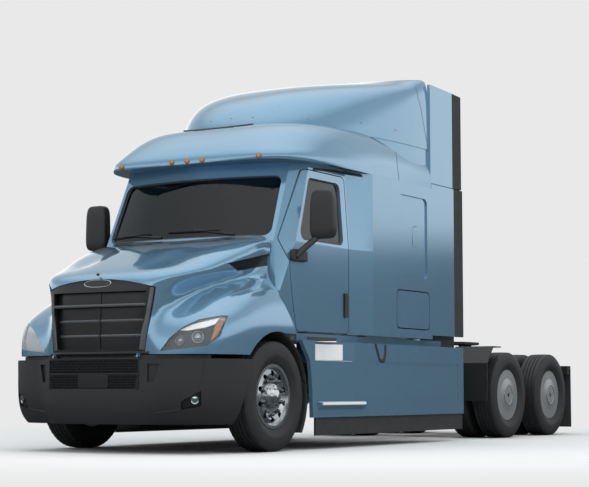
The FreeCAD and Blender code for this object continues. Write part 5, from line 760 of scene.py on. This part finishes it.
columns = np.arange(-columns_each_side, columns_each_side + 1)[None]
rows = np.arange(row_count)[:, None]
cell_x = (columns + rows % 2 / 2) * cell_pitch
cell_z = mesh_low[2] + edge_gap + rows * cell_pitch * math.sqrt(3) / 2 + 0 * columns
kept = (np.abs(cell_x) < mesh_high[0] - edge_gap) & (cell_z < mesh_high[2] - edge_gap)
kept &= np.abs(cell_z - bar_z) > bar_gap
kept &= (np.abs(cell_x) > plate_half) | (cell_z > bar_z)
cell_x, cell_z = cell_x[kept][:, None, None], cell_z[kept][:, None, None]
turn = np.linspace(0, 2 * np.pi, 6, endpoint=False) + np.pi / 6
reach = cell_pitch / math.sqrt(3) * np.array([[1.0], [cell_wall_share], [cell_floor_share]])
depth = np.array([[cell_lip], [0.0], [cell_depth]])
cells = np.stack([cell_x + reach * np.cos(turn), mesh_low[1] + depth + 0 * (cell_x + turn),
                  cell_z + reach * np.sin(turn)], axis=-1)
frame_corners = [(mesh_low[0], mesh_low[2]), (mesh_high[0], mesh_low[2]), (mesh_high[0], mesh_high[2]),
                 (mesh_low[0], mesh_high[2])]
rim = even(frame_corners, 120, closed=True)
rim = np.stack([rim[:, 0] * frame_share, 0 * rim[:, 0] + mesh_low[1] + frame_inset, rim[:, 1]], axis=1)
bar_line = [(x, mesh_low[1] + frame_inset, bar_z) for x in (mesh_low[0], mesh_high[0])]
backing_low = (mesh_low[0], mesh_high[1] - backing_thick, mesh_low[2])
plate_low = (-plate_half, mesh_low[1], mesh_low[2] + plate_margin)
plate_high = (plate_half, mesh_low[1] + plate_thick, bar_z - plate_under_bar)
honeycomb = [
    (cells, True, False),
    swept(rim, (0, -1, 0), frame_section, closed=True),
    swept(even(bar_line, 24), (0, -1, 0), bar_section),
    rounded_block(backing_low, mesh_high, backing_squareness, 24, 48),
    rounded_block(plate_low, plate_high, plate_squareness, 24, 48),
]
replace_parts(piece("bumper_honeycomb", honeycomb, satin_black, "chassis"), "bumper_mesh")

bumper_skin = skin_of("front_bumper")
fog_panel_outline = [(225, 404), (385, 432), (385, 552), (225, 464)]
fog_panel_rings = ((1.0, -0.002), (0.97, -0.008), (0.9, -0.009), (0.5, -0.006), (0.0, -0.006))
fog_lens_outline = round_outline(338, 482, 40)
fog_lens_rings = ((1.0, -0.008), (0.9, -0.016), (0.8, -0.015), (0.7, -0.011), (0.4, -0.014), (0.0, -0.016))
for side, way in sides:
    panel = corner_patch(bumper_skin, fog_panel_outline, fog_panel_rings, way)
    piece(f"fog_lamp_panel_{side}", [panel], satin_black, "chassis", wall=bezel_wall)
    lens = corner_patch(bumper_skin, fog_lens_outline, fog_lens_rings, way)
    piece(f"fog_lamp_{side}", [lens], chrome_reflector, "chassis", wall=optic_wall)

crease_pixels = [(204, 358.8), (200.5, 381), (194.5, 398), (188, 407), (173, 411.2), (155.4, 412.8)]
crease_section, crease_out = bead_section(width=0.012, height=0.004, sunk=0.003), (0.5, -0.86, 0)
crease = swept(seen_on(bumper_skin, crease_pixels, 60), crease_out, crease_section)
piece("bumper_crease_lines", pair(crease), charcoal_moulding, "chassis")

seal_reach, seal_shot_z, seal_share, seal_behind = 1.1, 0.82, 0.96, 0.06
seal_low, seal_high, seal_thick = 0.79, 0.878, 0.012
seal_line = from_front(bumper_skin, np.linspace(-seal_reach, seal_reach, 90), seal_shot_z)
seal_line = seal_line * [seal_share, 1, 0] + [0, seal_behind, seal_low]
bonnet_seal = swept(seal_line, (0, 0, 1), strip_section(seal_thick, seal_high - seal_low))
piece("bonnet_seal", [bonnet_seal], rubber_sheet, "chassis")


# Grille trim
# Graphite caps clipped on the slats and on both sides of the frame, a black
# bar over the lip below, and a bare oval plate with a bright rim on top.
hood_skin = skin_of("hood")
grille_skin = skin_of("grille")
lip_half, lip_z = 0.556, 0.895
slats = ((0.478, 1.055), (0.498, 1.191), (0.52, 1.327))
cheek_low, cheek_high, cheek_inset = (0.52, 0.905), (0.60, 1.485), 0.034
cheek_ends, cheek_out = (0.925, 1.50), (0.3, -1, 0)
oval_half_width, oval_half_height, oval_middle, oval_power = 0.15, 0.033, 1.527, 0.75
oval_shares, oval_proud, oval_wall = np.array([1.0, 0.9, 0.5, 0.0]), 0.002, 0.002
nozzle_low, nozzle_high = axle_shift + [-0.011, -1.168, 1.598], axle_shift + [0.011, -1.135, 1.622]
nozzle_squareness = 1.4

# Lacquered moulding: a dark metallic grey with a smooth satin shine that
# wavers over 40 mm.
haze_width = 0.04
graphite_cap, add, place = new_finish("graphite_lacquered_acrylic")
haze = add("TexNoise", {"Vector": place, "Scale": 1 / haze_width, "Detail": 4.0})
set_surface(add, {"Base Color": linear("#5C5E61"), "Metallic": 0.55}, rough=(haze, 0.24, 0.34))

lip = from_front(hood_skin, np.linspace(-lip_half, lip_half, 44), lip_z)
lip_bar = swept(lip, (0, -1, 0), bead_section(width=0.03, height=0.006))
piece("grille_lip_bar", [lip_bar], satin_black, "hood_unit")

slat_section = bead_section(width=0.026, height=0.005)
caps = []
for half_width, z in slats:
    slat = from_front(grille_skin, np.linspace(-half_width, half_width, 60), z)
    caps.append(swept(slat, (0, -1, 0), slat_section))
cheek_z = np.linspace(*cheek_ends, 30)
lean = (cheek_high[0] - cheek_low[0]) / (cheek_high[1] - cheek_low[1])
cheek_x = cheek_low[0] + (cheek_z - cheek_low[1]) * lean - cheek_inset
cheek = from_front(grille_skin, cheek_x, cheek_z)
caps += pair(swept(cheek, cheek_out, bead_section(width=0.052, height=0.004)))
piece("grille_caps", caps, graphite_cap, "hood_unit")

turn = np.linspace(0, 2 * np.pi, 64, endpoint=False)
oval_x = oval_half_width * np.sign(np.cos(turn)) * np.abs(np.cos(turn)) ** oval_power
oval = from_front(grille_skin, oval_x, oval_middle + oval_half_height * np.sin(turn))
rim = swept(oval, (0, -1, 0), bead_section(width=0.009, height=0.006), closed=True)
piece("oval_plate_rim", [rim], chrome_reflector, "hood_unit")
middle = oval.mean(axis=0)
face = middle + (oval - middle)[None] * oval_shares[:, None, None] - [0, oval_proud, 0]
piece("oval_plate_face", [(face, True, False)], charcoal_moulding, "hood_unit",
      wall=oval_wall)
nozzle = rounded_block(nozzle_low, nozzle_high, nozzle_squareness, 12, 16)
piece("washer_nozzle", [nozzle], charcoal_moulding, "hood_unit")


# Steps
# Extruded aluminium treads with raised teeth on the two steps of each side
# fairing, a bright kick plate behind the upper one and a rubber hold strap.
tooth_pitch, tooth_height, tooth_power, steps_per_tooth = 0.03, 0.004, 0.5, 8
treads = (((0.67, 1.44), (1.055, 1.205), 0.852), ((0.72, 1.60), (1.205, 1.262), 0.452))
tread_thick = 0.0015
kick_line = axle_shift + [(1.047, 0.668, 0.862), (1.047, 1.150, 0.862), (1.150, 1.322, 0.862)]
kick_height, kick_thick = 0.156, 0.003
nose_ends, nose_z = (0.73, 1.59), 0.436
strap_pixels = [(375.2, 344), (377.5, 352), (379.5, 360), (383.5, 361.5), (385.2, 354), (385.2, 345)]

# Bare extrusion: pale grey, lightly scuffed by boots in marks of 14 mm.
scuff_width = 1 / 70
tread_metal, add, place = new_finish("extruded_step_aluminium")
scuff = add("TexNoise", {"Vector": place, "Scale": 1 / scuff_width, "Detail": 6.0})
set_surface(add, {"Base Color": linear("#EDEEEE"), "Metallic": 0.2}, rough=(scuff, 0.3, 0.5))


def tread_sheet(span, reach, top):
    """A plate whose height is top plus teeth: the positive half of a cosine each way."""
    y = np.linspace(*span, int((span[1] - span[0]) / tooth_pitch * steps_per_tooth))[:, None]
    x = np.linspace(*reach, int((reach[1] - reach[0]) / tooth_pitch * steps_per_tooth))[None]
    wave = np.cos(2 * np.pi * y / tooth_pitch) * np.cos(2 * np.pi * x / tooth_pitch)
    z = top + tooth_height * np.clip(wave, 0, 1) ** tooth_power
    return np.stack([x + 0 * z, y + steer_axle_y + 0 * z, z], axis=-1), False, False


kick_plate = swept(even(kick_line, 40), (0, 0, 1), strip_section(kick_thick, kick_height))
for side, way in sides:
    sheets = [on_side(tread_sheet(*tread), way) for tread in treads]
    piece(f"step_treads_{side}", sheets, tread_metal, "chassis", wall=tread_thick)
    piece(f"kick_plate_{side}", [on_side(kick_plate, way)], tread_metal, "chassis")

fairing_skin = skin_of("chassis_fairings")
nose = from_side(fairing_skin, 1, np.linspace(*nose_ends, 50) + steer_axle_y, nose_z)
nose = swept(nose, (1, 0, 0), bead_section(width=0.026, height=0.006))
piece("step_noses", pair(nose), tread_metal, "chassis")
strap = swept(seen_on(fairing_skin, strap_pixels, 40), (1, 0, 0), bead_section(width=0.036, height=0.012))
piece("hold_straps", pair(strap), rubber_sheet, "chassis")


# Wheel arch liners
# Thermoformed black sheet round each steer wheel: one half on the bonnet,
# and a splash panel on the chassis behind the wheel.
liner_arc, liner_radius, rib_height, rib_count = (12, 160), 0.612, 0.004, 40
splash_arc, splash_radius = (-34, 10), 0.616
liner_reach, liner_thick = (0.76, 1.16), 0.003


def arch_sheet(arc, steps, radius, rib=0.0):
    """A sheet bent round the axle by an angle a: y is radius cos a, z is (radius + rib cos 40a) sin a."""
    x = np.linspace(*liner_reach, 12)[None]
    turn = np.radians(np.linspace(*arc, steps))[:, None]
    y = steer_axle_y + radius * np.cos(turn) + 0 * x
    z = axle_height + (radius + rib * np.cos(turn * rib_count)) * np.sin(turn) + 0 * x
    return np.stack([x + 0 * turn, y, z], axis=-1), False, False


liner = arch_sheet(liner_arc, 60, liner_radius, rib_height)
splash = arch_sheet(splash_arc, 28, splash_radius)
for side, way in sides:
    piece(f"arch_liner_{side}", [on_side(liner, way)], rubber_sheet, "hood_unit",
          wall=liner_thick)
    piece(f"splash_panel_{side}", [on_side(splash, way)], rubber_sheet, "chassis",
          wall=liner_thick)


# Cab foot shadow strip
# A dark rubber strip that closes the gap between the sleeper's rear corner and
# the shelf of the side fairing, and stands for the shadow line there: a painted shadow.
foot_x, foot_ends, foot_z, foot_height, foot_thick = 1.09, (0.1, 0.95), 0.99, 0.2, 0.008
foot_line = np.linspace((foot_x, foot_ends[0], foot_z), (foot_x, foot_ends[1], foot_z), 12)
# A dark strip where the gap's shadow falls: painted shadow.
foot_shadow_strip = swept(foot_line, (0, 0, 1), strip_section(foot_thick, foot_height))
piece("cab_foot_shadow_strips", pair(foot_shadow_strip), rubber_sheet, "chassis")


# Roof and body seams
# Butted composite panels with a dark sealed joint, dark beads along the deflector's foot
# that stand for the shadow in the gap under it (painted shadow), a dark slot on the cab
# shell, pop rivets along the deflector's foot and a skirt that closes it.
seam_out = (0.8, -0.6, 0.3)
seam_section = bead_section(width=0.007, height=0.0015)
shadow_gap_section = bead_section(width=0.026, height=0.003)
door_slot_section = bead_section(width=0.034, height=0.004)
seam_lines = (
    ("roof_cap", [(393.6, 137.5), (396.5, 158), (399, 180)], seam_section),
    ("roof_fairing", [(415.5, 86.5), (421, 110), (427.5, 147)], seam_section),
    # Dark beads under the deflector's foot: painted shadow of the gap beneath it.
    ("roof_cap", [(194, 131), (235, 126.6), (262, 123.6), (284.5, 121.8)], shadow_gap_section),
    ("roof_cap", [(357, 127.2), (372, 129.6)], shadow_gap_section),
    ("roof_cap", [(377, 131.2), (387, 133.6)], shadow_gap_section),
    ("roof_cap", [(397, 136), (405, 138.6)], shadow_gap_section),
    ("cab_shell", [(313, 168.5), (330, 170.3), (347, 173.2), (362, 175.6)], door_slot_section),
)
skirt_pixels = [(336, 131), (352, 133.2), (371, 136), (390, 140), (410, 144.2), (427.4, 148)]
skirt_drop, skirt_thick, skirt_inset, skirt_overrun = 0.34, 0.008, 0.012, 0.045
rivet_pixels = [(211.3, 121), (231.2, 118.4), (252.6, 117), (307.5, 118.2), (361, 122.4), (395.5, 129.8)]
rivet_radius = 0.009
pull_pixels = [(416.8, 226.2), (412.6, 227), (412.2, 235), (412.8, 245.6), (417, 247.4)]

roof_skins = {name: skin_of(name) for name in ("roof_cap", "roof_fairing", "cab_shell")}
seams = []
for name, pixels, section in seam_lines:
    points = seen_on(roof_skins[name], pixels, 30)
    if len(points) > 2:
        seams += pair(swept(points, seam_out, section))
piece("roof_seams_slots_and_shadow_gaps", seams, rubber_sheet, "chassis")

skirt_line = seen_on(roof_skins["roof_fairing"], skirt_pixels, 40) - [skirt_inset, 0, skirt_drop]
skirt_line = np.concatenate([skirt_line, skirt_line[-1:] + [0, skirt_overrun, 0]])
skirt = swept(skirt_line, (0, 0, 1), strip_section(skirt_thick, skirt_drop))
piece("deflector_foot_skirts", pair(skirt), metallic_paint, "chassis")

rivet_places = seen_on(roof_skins["roof_fairing"], rivet_pixels)
rivets = [rounded_block(spot - rivet_radius, spot + rivet_radius, 1.0, 8, 12) for spot in rivet_places]
piece("deflector_rivets", rivets, brushed_aluminium, "chassis")

pull_line = seen_on(skin_of("sleeper_window_blanks"), pull_pixels, 40)
pull = swept(pull_line, (1, 0, 0), bead_section(width=0.012, height=0.004))
piece("blank_pull_rims", pair(pull), metallic_paint, "chassis")


# Cab inside
# A soft moulded dashboard, a leather rimmed wheel, and foam cushions in
# woven cloth on the two seats and the bunk.

# Moulded skin: dark grey and matt, with a leather grain drawn at 3 mm, coarser
# than the real one.
leather_size, leather_depth = 1 / 350, 0.001
soft_dash, add, place = new_finish("grained_dash_skin")
leather = add("TexVoronoi", {"Vector": place, "Scale": 1 / leather_size})
bump = add("Bump", {"Height": leather, "Strength": 0.2, "Distance": leather_depth})
set_surface(add, {"Base Color": linear("#3A3B3D"), "Normal": bump, "Roughness": 0.6})
dress(soft_dash, "dashboard", "steering_wheel")

# Woven polyester: grey with a crossing of light and dark threads, drawn at
# 4 mm so that it shows, and a soft sheen at the edges.
thread_spacing, thread_depth = 0.004, 0.001
woven_cloth, add, place = new_finish("woven_seat_cloth")
warp, weft = (add("TexWave", {"Vector": place, "Scale": 1 / thread_spacing / 3, "Distortion": 0.4},
                  bands_direction=axis).outputs["Fac"] for axis in ("X", "Y"))
weave = add("Math", {0: warp, 1: weft}, operation="MULTIPLY")
bump = add("Bump", {"Height": weave, "Strength": 0.3, "Distance": thread_depth})
set_surface(add, {"Normal": bump, "Roughness": 0.85, "Sheen Weight": 0.3},
            tones=(weave, "#56585B", "#83868A"))

crown, crown_power, channel_half, channel_depth, side_bow = 0.18, 2.2, 0.022, 0.13, 0.012
cushion_squareness, base_squareness = 3.4, 5


def cushion(low, high, thin_axis, channels, channel_axis):
    """
    A crowned pad: a rounded block whose thickness is 1 - crown + crown * dome, drawn in at its
    middle height, with sewn channels pressed in as bell curves.
    """
    low, high = np.array(low), np.array(high)
    points = rounded_block(low, high, cushion_squareness, 72, 96)[0]
    unit = (points - (low + high) / 2) / ((high - low) / 2)
    others = [axis for axis in range(3) if axis != thin_axis]
    dome = np.prod([1 - np.abs(unit[..., axis]) ** crown_power for axis in others], axis=0)
    pressed = sum(np.exp(-((unit[..., channel_axis] - place) / channel_half) ** 2) for place in channels)
    squeeze = (1 - crown + crown * np.clip(dome, 0, 1)) * (1 - channel_depth * pressed)
    middle, half = (low + high)[thin_axis] / 2, (high - low)[thin_axis] / 2
    points[..., thin_axis] = middle + unit[..., thin_axis] * half * squeeze
    for axis in others:
        points[..., axis] -= unit[..., axis] * side_bow * (1 - unit[..., thin_axis] ** 2)
    return points, True, False


seat_x, seat_half, base_half = 0.56, 0.26, 0.13
pan_y, pan_z, pan_channels = (1.15, 1.53), (1.52, 1.65), (-0.5, 0.5)
back_y, back_z, back_channels = (1.54, 1.67), (1.655, 2.35), (-0.55, -0.2, 0.15, 0.5)
base_y = (1.28, 1.54)
bunk_front, bunk_z, bunk_channels = 2.33, (1.5, 1.65), (-0.6, -0.2, 0.2, 0.6)
low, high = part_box("seats_and_bunk")
soft_pieces, bases = [], []
for side, way in sides:
    x_low, x_high = way * seat_x - seat_half, way * seat_x + seat_half
    pan_low, pan_high = axle_shift + [x_low, pan_y[0], pan_z[0]], axle_shift + [x_high, pan_y[1], pan_z[1]]
    back_low = axle_shift + [x_low, back_y[0], back_z[0]]
    back_high = axle_shift + [x_high, back_y[1], back_z[1]]
    soft_pieces += [(f"seat_cushion_{side}", cushion(pan_low, pan_high, 2, pan_channels, 0)),
                    (f"seat_back_{side}", cushion(back_low, back_high, 1, back_channels, 2))]
    base_low = axle_shift + [way * seat_x - base_half, base_y[0], low[2]]
    base_high = axle_shift + [way * seat_x + base_half, base_y[1], pan_z[0]]
    bases.append(rounded_block(base_low, base_high, base_squareness, 24, 32))
bunk_low = (low[0], bunk_front + steer_axle_y, bunk_z[0])
soft_pieces.append(("bunk_mattress", cushion(bunk_low, (high[0], high[1], bunk_z[1]), 2, bunk_channels, 0)))
for name, grid in soft_pieces:
    pad = piece(name, [grid], woven_cloth, "chassis")
    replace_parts(pad, "seats_and_bunk")
piece("seat_bases", bases, soft_dash, "chassis")
